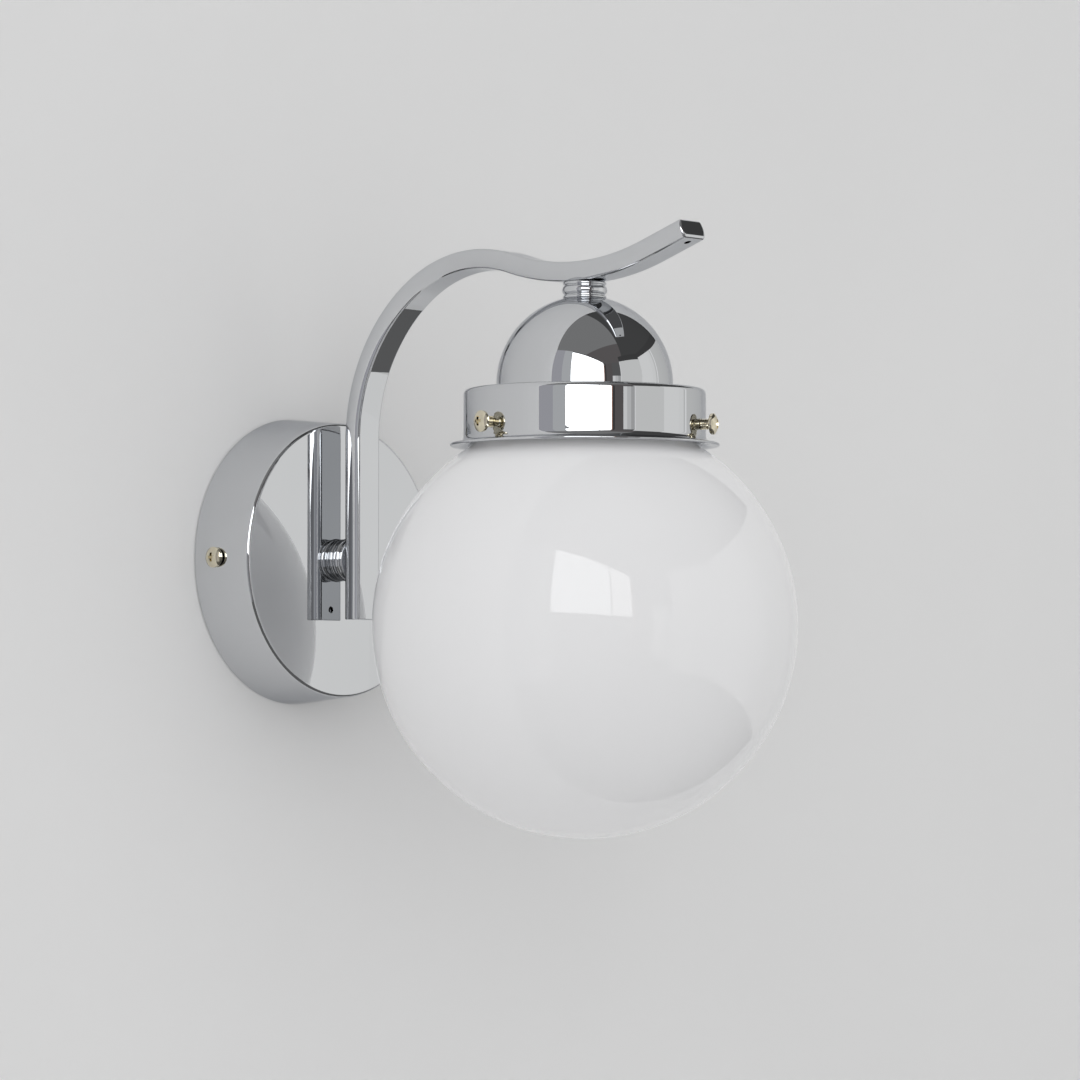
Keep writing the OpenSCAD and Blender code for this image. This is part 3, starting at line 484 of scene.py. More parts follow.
def holder_plastic(name):
    """The lampholder's dark plastic."""
    return moulded(name, finishes().holder, 0.32, 0.46, 2600)


def block_plastic(name):
    """The terminal block's cream plastic."""
    return moulded(name, finishes().block, 0.4, 0.55, 2200)


def ceramic_white(name):
    """Glazed ceramic."""
    made = moulded(name, finishes().ceramic, 0.16, 0.3, 900)
    made.shader.inputs["Coat Weight"].default_value = 0.3
    return made


def bulb_metal(name):
    """The bulb's nickel-plated cap."""
    made = Finish(name, finishes().bulb_cap, Metallic=1.0)
    made.shade(made.noise(400, 3), 0.9, 1.08)
    made.spread(made.noise(800, 3, (1, 1, 6)), "Roughness", 0.2, 0.34)
    return made.bump(made.noise(600, 1, (0.2, 0.2, 6)), 0.2, 0.0002)


def opal(name, base, rough, glow):
    """White glass with a bright fire-polished skin, and a painted glow: an even emission that lifts
    its shade, though the lamp is off.
    """
    # The emission is a painted glow that brightens the glass evenly and fills the shade under the
    # lip
    made = Finish(
        name, base, Subsurface_Weight=0.1, Subsurface_Radius=(1.0, 0.98, 0.95),
        Subsurface_Scale=0.002, Emission_Color=(1, 1, 1, 1), Emission_Strength=glow,
    )
    made.shade(made.noise(9, 2), 0.985, 1.01)
    made.spread(made.noise(25, 3), "Roughness", rough, rough + 0.03)
    return made.bump(made.noise(14, 1), 0.02, 0.0006)


def opal_glass(name):
    """The globe's glass."""
    # The 0.08 is the strength of the globe's painted glow, which lifts its shade while the lamp is
    # off
    return opal(name, finishes().opal, 0.03, 0.08)


def bulb_opal(name):
    """The bulb's frosted glass."""
    return opal(name, finishes().opal, 0.25, 0.0)


def wire_brown(name):
    """The live wire's sleeve."""
    return moulded(name, finishes().live, 0.34, 0.46, 1800)


def wire_blue(name):
    """The neutral wire's sleeve."""
    return moulded(name, finishes().neutral, 0.34, 0.46, 1800)


FINISHES = {
    maker.__name__: maker
    for maker in (
        chrome, screw_metal, zinc_steel, brass, holder_plastic, block_plastic, ceramic_white,
        bulb_metal, opal_glass, bulb_opal, wire_brown, wire_blue,
    )
}


class WALL_LAMP_OT_canopy(bpy.types.Operator):
    """Presses the round canopy with its rounded edge and side holes"""

    bl_idname = "wall_lamp.canopy"
    bl_label = "Canopy"

    def execute(self, context):
        """Spins the cup and drills it."""
        size = sizes()
        low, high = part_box("canopy")
        depth, back = -low.y, high.x
        rim = size.canopy_rim
        inner_edge = max(rim, size.canopy_edge - size.sheet)
        cup = Section(size.tube_hole, depth)
        cup.line(size.canopy_front, depth, size.canopy_edge)
        cup.line(back, 0, rim).line(back - size.sheet, 0, rim)
        cup.line(size.canopy_front - size.sheet, depth - size.sheet, inner_edge)
        cup.line(size.tube_hole, depth - size.sheet).close()
        screw_low, screw_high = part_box("canopy_screw_left")
        middle = (screw_low + screw_high) / 2
        mesh = cup.spun()
        bmesh.ops.transform(mesh, matrix=FROM_WALL, verts=mesh.verts[:])
        ends = [(side * 2 * back, middle.y, middle.z) for side in (-1, 1)]
        mesh = carved(mesh, bar(size.side_hole, *ends))
        piece("canopy_cup", mesh, Matrix(), "chrome", ["canopy"])
        return {"FINISHED"}


class WALL_LAMP_OT_spacers(bpy.types.Operator):
    """Turns the two barrel spacers with their end rings"""

    bl_idname = "wall_lamp.spacers"
    bl_label = "Spacers"

    def execute(self, context):
        """Spins one barrel for the wall end and one for the lamp end."""
        wall_low, wall_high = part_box("canopy_spacer")
        lamp_low, lamp_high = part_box("dome_spacer")
        self.turn("wall_spacer", wall_high.y - wall_low.y, wall_high.x,
                  FROM_WALL @ Matrix.Translation((0, 0, -wall_high.y)), "canopy_spacer")
        self.turn("lamp_spacer", lamp_high.z - lamp_low.z, lamp_high.x,
                  lamp_axis(lamp_low.z), "dome_spacer")
        return {"FINISHED"}

    @staticmethod
    def turn(name, height, radius, place, node):
        """Turns one spacer: a ring, a groove, a barrel, a groove and a ring."""
        size = sizes()
        ring = size.ring_height / 2
        belly = height / 2 - size.ring_height
        belly_middle = radius - belly
        half = math.degrees(math.acos((size.groove - belly_middle) / belly))
        reach = belly * math.sin(math.radians(half))
        barrel = Section(size.tube_hole, 0).line(size.groove, 0)
        barrel.arc(size.groove, ring, 180, RING_STEPS)
        barrel.line(size.groove, height / 2 - reach)
        barrel.arc(belly_middle, height / 2, 2 * half, BELLY_STEPS)
        barrel.line(size.groove, height - size.ring_height)
        barrel.arc(size.groove, height - ring, 180, RING_STEPS)
        barrel.line(size.tube_hole, height).close()
        piece(name, barrel.spun(SPACER_SPIN_STEPS), place, "chrome", [node], sharp=50)


# The arm's bends: the name of each radius, and its angle, where a positive one leans into the room
ARM_BENDS = (("first_bend", 56.0), ("top_bend", 52.0), ("dip_bend", -37.8))


def arm_foot():
    """The middle of the tube's open end at the foot."""
    low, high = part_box("arm")
    return Vector((0, high.y - sizes().arm_depth / 2, low.z))


def arm_bends():
    """The centre, signed angle and end of each bend, from the foot to the tip."""
    at = Vector((0, arm_foot().y, sizes().arm_rise))
    turned = 0.0
    found = []
    for name, degrees in ARM_BENDS:
        inward = Vector((0, -math.cos(turned), -math.sin(turned)))
        centre = at + inward * math.copysign(getattr(sizes(), name), degrees)
        angle = math.radians(degrees)
        at = centre + Matrix.Rotation(angle, 3, "X") @ (at - centre)
        turned += angle
        found.append((centre, angle, at))
    return found


def tip_place():
    """Puts a shape drawn up Z on the tube's open end at the tip, along the tube."""
    turned = math.radians(sum(degrees for _, degrees in ARM_BENDS))
    turn = Matrix.Rotation(turned, 4, "X")
    end = arm_bends()[-1][2] + turn.to_3x3() @ (UP * sizes().tip_length)
    return Matrix.Translation(end) @ turn


def flat_outline(mesh):
    """Draws the arm's section, flat with crowned narrow sides, and returns its edges."""
    size = sizes()
    known = set(mesh.edges)
    half = math.asin(size.arm_depth / 2 / size.arm_side)
    corners = []
    for side in (1, -1):
        middle = Vector((side * (size.arm_width / 2 - size.arm_side), 0, 0))
        start = mesh.verts.new(
            (middle.x + side * size.arm_side * math.cos(half), -side * size.arm_depth / 2, 0)
        )
        made = spun_about(mesh, [start], middle, UP, 2 * half, RING_STEPS)
        corners += [start, only(bmesh.types.BMVert, made)[0]]
    mesh.edges.new((corners[1], corners[2]))
    mesh.edges.new((corners[3], corners[0]))
    for corner in corners:
        rounded(mesh, [corner], size.arm_edge * math.tan((math.pi / 2 - half) / 2))
    return [edge for edge in mesh.edges if edge not in known]


class WALL_LAMP_OT_arm(bpy.types.Operator):
    """Sweeps the flat tube up the wall, over the top and out to its tip"""

    bl_idname = "wall_lamp.arm"
    bl_label = "Arm"

    def execute(self, context):
        """Draws the tube's section, sweeps it and drills it."""
        size = sizes()
        mesh = bmesh.new()
        last = flat_outline(mesh)
        bmesh.ops.translate(mesh, vec=arm_foot(), verts=mesh.verts[:])
        last = self.extrude(mesh, last, UP * (size.arm_rise - arm_foot().z))
        for centre, angle, _ in arm_bends():
            last = self.bend(mesh, last, centre, angle)
        along = tip_place().to_3x3() @ UP
        self.extrude(mesh, last, along * size.tip_length)
        bmesh.ops.solidify(mesh, geom=cleaned(mesh).faces[:], thickness=size.sheet)
        mesh = carved(cleaned(mesh), *self.drills())
        piece("arm_tube", mesh, Matrix(), "chrome", ["arm"])
        return {"FINISHED"}

    @staticmethod
    def extrude(mesh, edges, shift):
        """Carries the outline along a straight line and returns its new edges."""
        made = bmesh.ops.extrude_edge_only(mesh, edges=edges)["geom"]
        bmesh.ops.translate(mesh, vec=shift, verts=only(bmesh.types.BMVert, made))
        ends = set(only(bmesh.types.BMVert, made))
        return [edge for edge in only(bmesh.types.BMEdge, made) if ends.issuperset(edge.verts)]

    @staticmethod
    def bend(mesh, edges, centre, angle):
        """Carries the outline round a bend and returns its new edges."""
        axis = (math.copysign(1, angle), 0, 0)
        made = spun_about(mesh, edges, centre, axis, abs(angle), BEND_STEPS)
        return only(bmesh.types.BMEdge, made)

    @staticmethod
    def drills():
        """The drills for both threaded tubes and both vents."""
        size = sizes()
        through = Vector((0, size.arm_depth / 2, 0))
        wall_end = arm_foot()
        wall_end.z = 0
        lamp = lamp_axis(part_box("dome_spacer")[1].z).translation
        low_vent = arm_foot() + UP * (size.vent_inset - size.cap_thickness)
        high_vent = tip_place() @ Vector((0, 0, size.cap_thickness - size.vent_inset))
        under = tip_place().to_3x3() @ through * -2
        return [
            bar(size.tube_hole, wall_end, wall_end + 2 * through),
            bar(size.tube_hole, lamp - UP * through.y, lamp + UP * through.y),
            bar(size.vent, low_vent, low_vent + 2 * through, VENT_SIDES),
            bar(size.vent, high_vent, high_vent + under, VENT_SIDES),
        ]


class WALL_LAMP_OT_end_caps(bpy.types.Operator):
    """Closes both ends of the arm with rounded plates"""

    bl_idname = "wall_lamp.end_caps"
    bl_label = "End caps"

    def execute(self, context):
        """Makes the foot's cap and the tip's cap."""
        down = Matrix.Translation(arm_foot()) @ Matrix.Rotation(math.pi, 4, "X")
        self.cap("foot_cap", sizes().foot_edge, down, "arm_foot_cap")
        self.cap("tip_cap", sizes().tip_edge, tip_place(), "arm_tip_cap")
        return {"FINISHED"}

    @staticmethod
    def cap(name, edge, place, node):
        """Makes one cap: a plate with a rounded rim, and its plug in the tube."""
        size = sizes()
        mesh = bmesh.new()
        rim = flat_outline(mesh)
        plate = bmesh.ops.contextual_create(mesh, geom=rim)["faces"]
        top = bmesh.ops.extrude_face_region(mesh, geom=plate, use_keep_orig=True)["geom"]
        bmesh.ops.translate(
            mesh, vec=UP * size.cap_thickness, verts=only(bmesh.types.BMVert, top)
        )
        rounded(mesh, only(bmesh.types.BMEdge, top), edge, "EDGES")
        bmesh.ops.inset_region(mesh, faces=plate, thickness=size.sheet + size.plug_gap)
        plug = bmesh.ops.extrude_face_region(mesh, geom=plate)["geom"]
        bmesh.ops.translate(mesh, vec=UP * -size.plug_depth, verts=only(bmesh.types.BMVert, plug))
        bmesh.ops.delete(mesh, geom=plate, context="FACES")
        piece(name, cleaned(mesh), place, "chrome", [node])


class WALL_LAMP_OT_dome(bpy.types.Operator):
    """Spins the half-round dome over the lampholder"""

    bl_idname = "wall_lamp.dome"
    bl_label = "Dome"

    def execute(self, context):
        """Spins the dome's sheet."""
        size = sizes()
        low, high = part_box("dome")
        middle = low.z + size.dome_foot
        seat = high.z - middle
        inner = size.dome - size.sheet
        seat_angle = math.degrees(math.asin(seat / size.dome))
        inner_angle = math.degrees(math.asin((seat - size.sheet) / inner))
        sheet = Section(size.tube_hole, seat).line(math.sqrt(size.dome**2 - seat**2), seat)
        sheet.arc(0, 0, -seat_angle, DOME_STEPS)
        sheet.line(size.dome, -size.dome_foot, size.dome_rim)
        sheet.line(inner, -size.dome_foot, size.dome_rim)
        sheet.line(inner, 0).arc(0, 0, inner_angle, DOME_STEPS)
        sheet.line(size.tube_hole, seat - size.sheet).close()
        piece("dome_shell", sheet.spun(), lamp_axis(middle), "chrome", ["dome"])
        return {"FINISHED"}


class WALL_LAMP_OT_gallery(bpy.types.Operator):
    """Spins the gallery: its plate, round shoulder, collar and flared lip"""

    bl_idname = "wall_lamp.gallery"
    bl_label = "Gallery"

    def execute(self, context):
        """Spins the sheet and drills it for the three screws."""
        size = sizes()
        low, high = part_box("gallery")
        height = high.z - low.z
        inner = size.collar - size.sheet
        under = size.lip_sweep + size.sheet
        sweep = size.collar + size.lip_sweep
        rim = size.sheet / 2
        sheet = Section(size.gallery_hole, 0).line(size.collar, 0, size.shoulder)
        sheet.line(size.collar, under - height).arc(sweep, under - height, 90, SWEEP_STEPS)
        sheet.line(size.lip - rim, size.sheet - height)
        sheet.arc(size.lip - rim, rim - height, -180, RIM_STEPS)
        sheet.line(sweep, -height).arc(sweep, under - height, -90, SWEEP_STEPS)
        sheet.line(inner, -size.sheet, size.shoulder - size.sheet)
        sheet.line(size.gallery_hole, -size.sheet).close()
        mesh = sheet.spun()
        bmesh.ops.transform(mesh, matrix=lamp_axis(high.z), verts=mesh.verts[:])
        axis = lamp_axis().translation
        drills = []
        for number in (1, 2, 3):
            middle = sum(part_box(f"gallery_screw_{number}"), Vector()) / 2
            centre = Vector((axis.x, axis.y, middle.z))
            drills.append(bar(size.screw_hole, centre, centre + (middle - centre) * 2))
        mesh = carved(mesh, *drills)
        piece("gallery_collar", mesh, Matrix(), "chrome", ["gallery"])
        return {"FINISHED"}


class WALL_LAMP_OT_screws(bpy.types.Operator):
    """Makes the canopy's and the gallery's pan-head screws with their threads"""

    bl_idname = "wall_lamp.screws"
    bl_label = "Screws"

    def execute(self, context):
        """Makes five screws, each pointing along its own travel."""
        for side, heading in (("left", -1), ("right", 1)):
            node = f"canopy_screw_{side}"
            self.place(node, Vector((heading, 0, 0)))
        axis = lamp_axis().translation
        for number in (1, 2, 3):
            node = f"gallery_screw_{number}"
            middle = sum(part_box(node), Vector()) / 2
            self.place(node, Vector((middle.x - axis.x, middle.y - axis.y, 0)).normalized())
        return {"FINISHED"}

    @classmethod
    def place(cls, node, heading):
        """Makes one screw whose head faces along its heading."""
        size = sizes()
        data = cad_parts[node].data
        reach = [vertex.co.dot(heading) for vertex in data.vertices]
        middle = sum(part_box(node), Vector()) / 2
        seat = middle + heading * (max(reach) - size.head_height - middle.dot(heading))
        shank = max(reach) - min(reach) - size.head_height
        turn = heading.to_track_quat("Z", "Y").to_matrix().to_4x4()
        mesh = cls.screw(shank)
        place = Matrix.Translation(seat) @ turn
        piece(f"{node}_turned", mesh, place, "screw_metal", [node], body=node, sharp=30)

    @staticmethod
    def screw(shank):
        """A pan head with a cross recess, on a threaded shank."""
        size = sizes()
        crown_radius = (size.head**2 + size.crown**2) / (2 * size.crown)
        half = math.degrees(math.asin(size.head / crown_radius))
        head = Section(0, size.head_height)
        head.arc(0, size.head_height - crown_radius, -half, RIM_STEPS)
        head.line(size.head, 0, size.head_edge).line(size.thread, 0)
        head.line(size.thread, -size.collar_end).line(size.core, -size.core_start)
        head.line(size.core, size.point - shank)
        head.line(size.core - size.point, -shank, size.point_edge).line(0, -shank)
        wings = []
        for degrees in (0, 90):
            wing = bmesh.new()
            bmesh.ops.create_cube(wing, size=1)
            bmesh.ops.scale(
                wing, vec=(size.recess_length, size.recess_width, 2 * size.recess_depth),
                verts=wing.verts[:],
            )
            low = [vertex for vertex in wing.verts if vertex.co.z < 0]
            bmesh.ops.scale(wing, vec=RECESS_TAPER, verts=low)
            turn = Matrix.Rotation(math.radians(degrees), 4, "Z")
            up = Matrix.Translation(UP * size.head_height)
            bmesh.ops.transform(wing, matrix=up @ turn, verts=wing.verts[:])
            wings.append(wing)
        mesh = carved(head.spun(SCREW_SPIN_STEPS), *wings)
        foot = size.core - size.ridge_foot
        start = size.point - shank
        ridge = [mesh.verts.new(point) for point in (
            (foot, 0, start), (size.thread, 0, start + size.ridge / 2),
            (foot, 0, start + size.ridge),
        )]
        loop = [mesh.edges.new(pair) for pair in zip(ridge, ridge[1:] + ridge[:1])]
        mesh.faces.new(ridge)
        turns = (shank - size.plain) / size.pitch
        made = spun_about(
            mesh, loop, (0, 0, 0), UP, math.tau * turns, round(THREAD_STEPS * turns),
            UP * size.pitch / THREAD_STEPS,
        )
        bmesh.ops.contextual_create(mesh, geom=only(bmesh.types.BMEdge, made))
        bmesh.ops.recalc_face_normals(mesh, faces=mesh.faces[:])
        return mesh


class WALL_LAMP_OT_globe(bpy.types.Operator):
    """Blows the opal globe with its neck and bead"""

    bl_idname = "wall_lamp.globe"
    bl_label = "Globe"

    def execute(self, context):
        """Spins the glass wall."""
        size = sizes()
        low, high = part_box("globe")
        middle = low.z + size.globe
        top = high.z - middle
        mouth = size.neck - size.glass
        inner = size.globe - size.glass
        neck_angle = math.degrees(math.acos(size.neck / size.globe))
        mouth_angle = math.degrees(math.acos(mouth / inner))
        glass = Section(mouth, top)
        glass.corners.append((glass.start, size.mouth_edge))
        glass.line(size.bead, top, size.bead_edge)
        glass.line(size.bead, top - size.bead_height, size.bead_edge)
        glass.line(size.neck, top - size.bead_height, size.neck_edge)
        glass.line(size.neck, size.globe * math.sin(math.radians(neck_angle)))
        glass.arc(0, 0, -90 - neck_angle, BALL_STEPS)
        glass.jump(0, -inner).arc(0, 0, 90 + mouth_angle, HOLLOW_STEPS).close()
        piece("globe_glass", glass.spun(), lamp_axis(middle), "opal_glass", ["globe"])
        return {"FINISHED"}


NODE_SLOTS = {
    "zinc_steel": (
        "wall_bracket", "centre_washer", "centre_tube", "dome_tube", "dome_washer",
        "wall_nut_plate", "dome_nut_plate", "terminal_screws", "block_screw",
    ),
    "brass": (
        "centre_nut", "dome_nut", "earth_screw", "terminal_tubes", "holder_shell",
        "holder_contact",
    ),
    "holder_plastic": ("holder_cap", "holder_skirt", "clamp_ring"),
    "block_plastic": ("terminal_block",),
    "ceramic_white": ("holder_insert",),
    "bulb_metal": ("bulb_cap",),
    "bulb_opal": ("bulb_glass",),
    "wire_brown": ("live_wire",),
    "wire_blue": ("neutral_wire",),
}


class WALL_LAMP_OT_inner_parts(bpy.types.Operator):
    """Gives the lamp's inner parts their finishes"""

    bl_idname = "wall_lamp.inner_parts"
    bl_label = "Inner parts"

    def execute(self, context):
        """Puts each slot's material on its nodes."""
        for slot, nodes in NODE_SLOTS.items():
            for node in nodes:
                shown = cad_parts[node]
                shown.data.materials.clear()
                shown.data.materials.append(finish(slot))
        return {"FINISHED"}


# The room that the chrome mirrors: each upright card's name, its two ends on the plan, its bottom
# and top, and its brightness
WALL_CARDS = (
    ("corner", (-2.25, 0.12), (-2.17, -0.52), -1.3, 1.85, (0.41, 0.41, 0.44)),
    ("left_wall", (-2.17, -0.52), (-2.11, -0.99), -1.3, 1.85, (0.51, 0.52, 0.53)),
    ("window_left", (-2.11, -0.99), (-1.9, -2.72), 0.19, 1.78, (3.4, 3.45, 3.5)),
    ("window_bar", (-1.9, -2.72), (-1.89, -2.77), 0.19, 1.78, (0.37, 0.37, 0.37)),
    ("window_right", (-1.89, -2.77), (-1.75, -3.86), 0.19, 1.78, (3.0, 3.0, 3.0)),
    ("under_window", (-2.11, -0.99), (-1.75, -3.86), -1.3, 0.19, (0.24, 0.24, 0.25)),
    ("over_window", (-2.11, -0.99), (-1.75, -3.86), 1.78, 1.85, (0.11, 0.11, 0.11)),
    ("curtain", (-1.75, -3.86), (-1.74, -4.05), -1.3, 1.6, (0.46, 0.29, 0.24)),
    ("door_edge", (-1.74, -4.05), (-1.7, -4.35), -1.3, 1.85, (0.05, 0.05, 0.05)),
    ("door", (-1.7, -4.35), (-1.02, -4.35), -1.3, 1.85, (0.12, 0.11, 0.11)),
    ("jamb", (-1.02, -4.35), (-0.74, -4.35), -1.3, 0.59, (0.77, 0.77, 0.77)),
    ("shelf", (-0.74, -4.35), (-0.44, -4.35), -1.3, 0.59, (0.61, 0.61, 0.61)),
    ("shelf_side", (-0.44, -4.35), (-0.1, -4.35), -1.3, 0.59, (0.46, 0.46, 0.46)),
    ("far_wall", (-1.02, -4.35), (3.5, -4.35), 0.59, 1.85, (0.12, 0.12, 0.12)),
    ("cupboard_edge", (-0.13, -3.29), (-0.08, -3.28), -1.3, 1.45, (0.87, 0.87, 0.87)),
    ("cupboard", (-0.08, -3.28), (1.55, -2.83), -1.3, 1.45, (0.72, 0.72, 0.71)),
    ("right_wall", (1.49, -2.72), (2.07, -1.89), -1.3, 1.5, (0.84, 0.84, 0.83)),
    ("right_panel", (2.07, -1.89), (2.27, -1.61), -1.3, 1.5, (0.82, 0.82, 0.81)),
    ("right_side", (2.27, -1.61), (2.35, -1.5), -1.3, 1.5, (0.66, 0.66, 0.65)),
    ("right_edge", (2.35, -1.5), (2.39, -1.44), -1.3, 1.5, (1.01, 1.01, 1.01)),
    ("right_end", (2.39, -1.44), (3.38, 0.12), -1.3, 1.5, (0.66, 0.66, 0.65)),
    ("over_cupboard", (-0.13, -3.29), (1.55, -2.83), 1.45, 1.85, (0.06, 0.06, 0.06)),
    ("over_right", (1.55, -2.83), (3.38, 0.12), 1.5, 1.85, (0.06, 0.06, 0.06)),
)
# The flat cards over and under the lamp: name, two opposite corners on the plan, height, brightness
FLAT_CARDS = (
    ("ceiling_near", (-2.3, -1.9), (0.2, 0.1), 1.85, (0.23, 0.23, 0.23)),
    ("ceiling_far", (-2.3, -4.4), (0.2, -1.9), 1.85, (0.13, 0.12, 0.12)),
    ("ceiling_right", (0.2, -4.4), (3.5, 0.1), 1.85, (0.07, 0.07, 0.07)),
    ("ground", (-2.3, -4.4), (3.5, 0.1), -1.3, (0.13, 0.13, 0.13)),
)


# The lights: name, heading from +X towards +Y and rise in degrees, width, height and watts
LIGHTS = (("window_light", 222, 10, 1.4, 1.1, 5.5),)


class WALL_LAMP_OT_stage(bpy.types.Operator):
    """Sets the wall, the floor, what the chrome mirrors, the lights and the camera"""

    bl_idname = "wall_lamp.stage"
    bl_label = "Stage"

    def execute(self, context):
        """Builds the stage round the lamp."""
        self.wall()
        self.floor()
        for name, start, end, low, high, tone in WALL_CARDS:
            corners = [(*start, low), (*end, low), (*end, high), (*start, high)]
            self.card(name, corners, tone)
        for name, (left, far), (right, near), height, tone in FLAT_CARDS:
            corners = [(left, far), (right, far), (right, near), (left, near)]
            self.card(name, [(*corner, height) for corner in corners], tone)
        self.world()
        for name, heading, rise, width, height, power in LIGHTS:
            self.light(name, heading, rise, width, height, power)
        self.camera()
        return {"FINISHED"}

    @staticmethod
    def wall():
        """The painted wall, open behind the canopy and clear when seen from behind."""
        view = studio()
        mesh = bmesh.new()
        bmesh.ops.create_circle(
            mesh, cap_ends=False, segments=WALL_SIDES, radius=view.wall_hole
        )
        made = bmesh.ops.extrude_edge_only(mesh, edges=mesh.edges[:])["geom"]
        grow = Vector((1, 1, 1)) * view.reach / view.wall_hole
        bmesh.ops.scale(mesh, vec=grow, verts=only(bmesh.types.BMVert, made))
        bmesh.ops.transform(mesh, matrix=FROM_WALL, verts=mesh.verts[:])
        bmesh.ops.translate(mesh, vec=(0, view.wall_gap, 0), verts=mesh.verts[:])
        for face in mesh.faces:
            if face.normal.y > 0:
                face.normal_flip()
        made = held(mesh, "wall")
        paint = Finish("wall_paint", view.wall, Roughness=0.75, Specular_IOR_Level=0.0)
        paint.shade(paint.noise(4, 4), 0.985, 1.01)
        paint.bump(paint.noise(60, 5), 0.25, 0.0006)
        nodes, links = paint.nodes, paint.links
        side = nodes.new("ShaderNodeNewGeometry")
        clear = nodes.new("ShaderNodeBsdfTransparent")
        mix = nodes.new("ShaderNodeMixShader")
        links.new(side.outputs["Backfacing"], mix.inputs[0])
        links.new(paint.shader.outputs[0], mix.inputs[1])
        links.new(clear.outputs[0], mix.inputs[2])
        links.new(mix.outputs[0], nodes["Material Output"].inputs["Surface"])
        made.data.materials.append(paint.material)

    @staticmethod
    def floor():
        """A pale floor well below the lamp."""
        mesh = bmesh.new()
        bmesh.ops.create_grid(mesh, x_segments=4, y_segments=4, size=studio().reach)
        bmesh.ops.translate(mesh, vec=UP * -studio().drop, verts=mesh.verts[:])
        made = held(mesh, "floor")
        made.visible_glossy = False
        paint = Finish("floor_paint", studio().wall, Roughness=0.7)
        paint.shade(paint.noise(3, 3), 0.99, 1.01)
        made.data.materials.append(paint.material)

    @staticmethod
    def card(name, corners, tone):
        """One flat card of the room that only mirrors see."""
        mesh = bmesh.new()
        mesh.faces.new([mesh.verts.new(corner) for corner in corners])
        made = held(mesh, name)
        material = bpy.data.materials.new(name)
        material.use_nodes = True
        nodes, links = material.node_tree.nodes, material.node_tree.links
        nodes.remove(nodes["Principled BSDF"])
        glow = nodes.new("ShaderNodeEmission")
        glow.inputs["Color"].default_value = (*tone, 1)
        links.new(glow.outputs[0], nodes["Material Output"].inputs["Surface"])
        made.data.materials.append(material)
        for ray in ("camera", "diffuse", "transmission", "volume_scatter", "shadow"):
            setattr(made, f"visible_{ray}", False)

    @staticmethod
    def world():
        """Light from all round, most of it from the left, and a pale ground for the camera."""
        view = studio()
        world = bpy.data.worlds.new("Room")
        bpy.context.scene.world = world
        world.use_nodes = True
        nodes, links = world.node_tree.nodes, world.node_tree.links
        shine = nodes["Background"]
        shine.inputs["Color"].default_value = (1, 1, 1, 1)
        heading = nodes.new("ShaderNodeTexCoord")
        across = nodes.new("ShaderNodeSeparateXYZ")
        links.new(heading.outputs["Generated"], across.inputs[0])
        level = nodes.new("ShaderNodeMapRange")
        level.inputs["From Min"].default_value = -1
        level.inputs["To Min"].default_value = view.sky + view.sky_slope
        level.inputs["To Max"].default_value = view.sky - view.sky_slope
        links.new(across.outputs["X"], level.inputs["Value"])
        links.new(level.outputs[0], shine.inputs["Strength"])
        seen = nodes.new("ShaderNodeBackground")
        seen.inputs["Color"].default_value = (*view.ground, 1)
        ray = nodes.new("ShaderNodeLightPath")
        mix = nodes.new("ShaderNodeMixShader")
        links.new(ray.outputs["Is Camera Ray"], mix.inputs[0])
        links.new(shine.outputs[0], mix.inputs[1])
        links.new(seen.outputs[0], mix.inputs[2])
        links.new(mix.outputs[0], nodes["World Output"].inputs["Surface"])

    @staticmethod
    def light(name, heading, rise, width, height, power):
        """One soft light, off the lamp at a heading from +X and a rise over the horizon."""
        heading, rise = math.radians(heading), math.radians(rise)
        away = Vector((
            math.cos(heading) * math.cos(rise), math.sin(heading) * math.cos(rise), math.sin(rise)
        ))
        data = bpy.data.lights.new(name, "AREA")
        data.shape = "RECTANGLE"
        data.size, data.size_y = width, height
        data.energy = power
        made = bpy.data.objects.new(name, data)
        bpy.context.scene.collection.objects.link(made)
        made.location = lamp_axis().translation + away * studio().light_distance
        made.rotation_euler = away.to_track_quat("Z", "Y").to_euler()
        made.visible_glossy = False
        made.visible_camera = False

    @staticmethod
    def camera():
        """The camera at the photograph's angle."""
        view = studio()
        data = bpy.data.cameras.new("Camera")
        data.lens = view.lens
        data.sensor_width = SENSOR_WIDTH
        data.clip_start, data.clip_end = VIEW_RANGE
        made = bpy.data.objects.new("Camera", data)
        bpy.context.scene.collection.objects.link(made)
        made.location = view.place
        ahead = Vector((
            math.sin(view.yaw) * math.cos(view.pitch), math.cos(view.yaw) * math.cos(view.pitch),
            math.sin(view.pitch),
        ))
        made.rotation_euler = ahead.to_track_quat("-Z", "Y").to_euler()
        bpy.context.scene.camera = made
        bpy.context.scene.view_settings.view_transform = "Standard"


PIECES = (
    WALL_LAMP_OT_canopy, WALL_LAMP_OT_spacers, WALL_LAMP_OT_arm, WALL_LAMP_OT_end_caps,
    WALL_LAMP_OT_dome, WALL_LAMP_OT_gallery, WALL_LAMP_OT_screws, WALL_LAMP_OT_globe,
    WALL_LAMP_OT_inner_parts, WALL_LAMP_OT_stage,
)


class WALL_LAMP_PT_panel(bpy.types.Panel):
    """The lamp's pieces and settings"""

    bl_idname = "WALL_LAMP_PT_panel"
    bl_label = "Wall lamp"
    bl_space_type = "VIEW_3D"
    bl_region_type = "UI"
    bl_category = "Wall lamp"

    def draw(self, context):
        """Lists the operators, then the settings."""
        for maker in PIECES:
            self.layout.operator(maker.bl_idname)
        for group in (sizes(), finishes(), studio()):
            box = self.layout.box()
            for name in group.__annotations__:
                box.prop(group, name)


GROUPS = (
    ("wall_lamp_sizes", WallLampSizes),
    ("wall_lamp_finishes", WallLampFinishes),
    ("wall_lamp_studio", WallLampStudio),
)


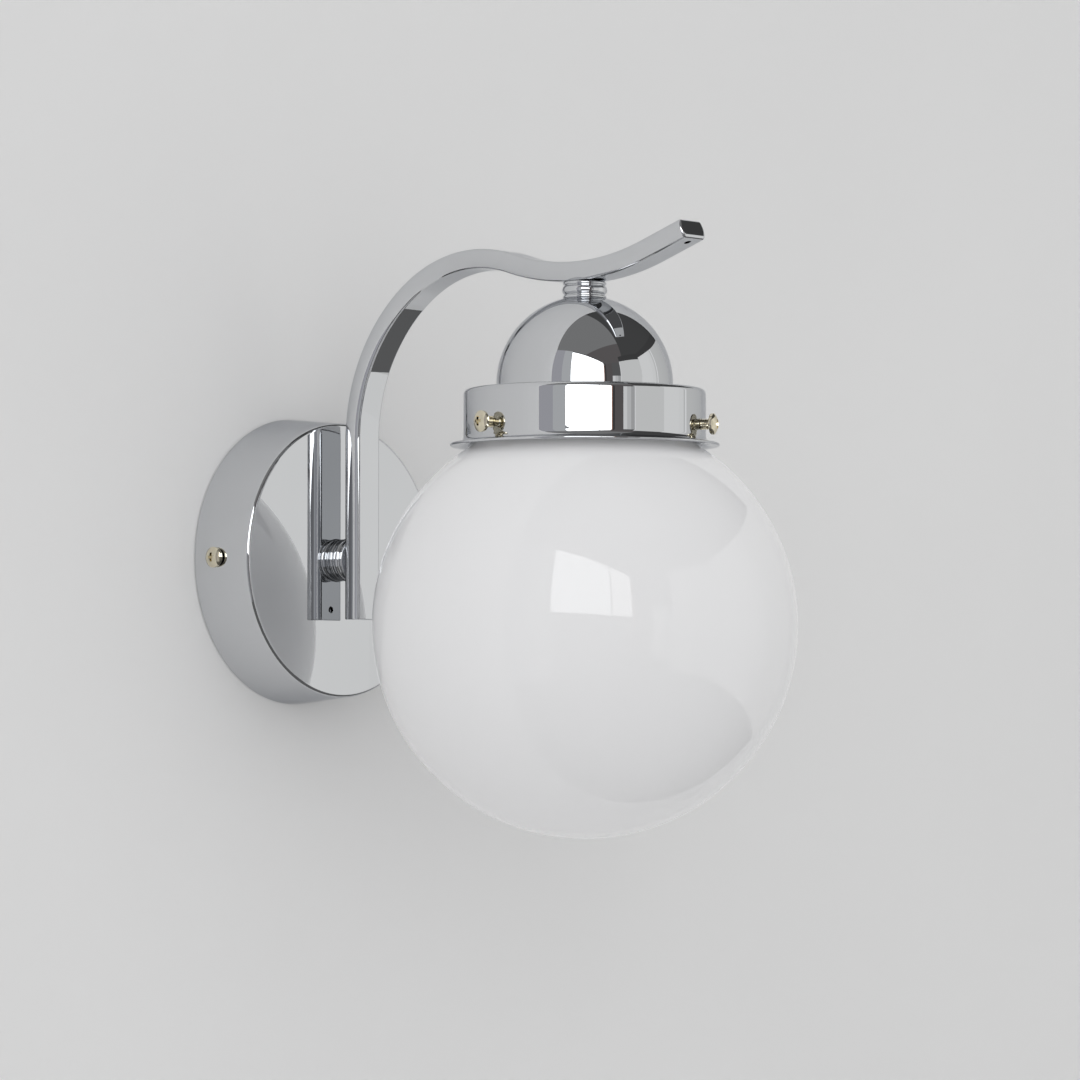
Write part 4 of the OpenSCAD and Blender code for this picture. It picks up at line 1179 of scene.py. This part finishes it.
def register():
    """Adds the classes and the scene's settings."""
    for _, group in GROUPS:
        bpy.utils.register_class(group)
    for maker in PIECES:
        bpy.utils.register_class(maker)
    bpy.utils.register_class(WALL_LAMP_PT_panel)
    for name, group in GROUPS:
        setattr(bpy.types.Scene, name, PointerProperty(type=group))


def unregister():
    """Removes the scene's settings and the classes."""
    for name, _ in GROUPS:
        delattr(bpy.types.Scene, name)
    bpy.utils.unregister_class(WALL_LAMP_PT_panel)
    for maker in reversed(PIECES):
        bpy.utils.unregister_class(maker)
    for _, group in reversed(GROUPS):
        bpy.utils.unregister_class(group)


def main():
    """Builds the lamp and its stage."""
    register()
    for maker in PIECES:
        area, name = maker.bl_idname.split(".")
        getattr(getattr(bpy.ops, area), name)()


if __name__ == "__main__":
    main()
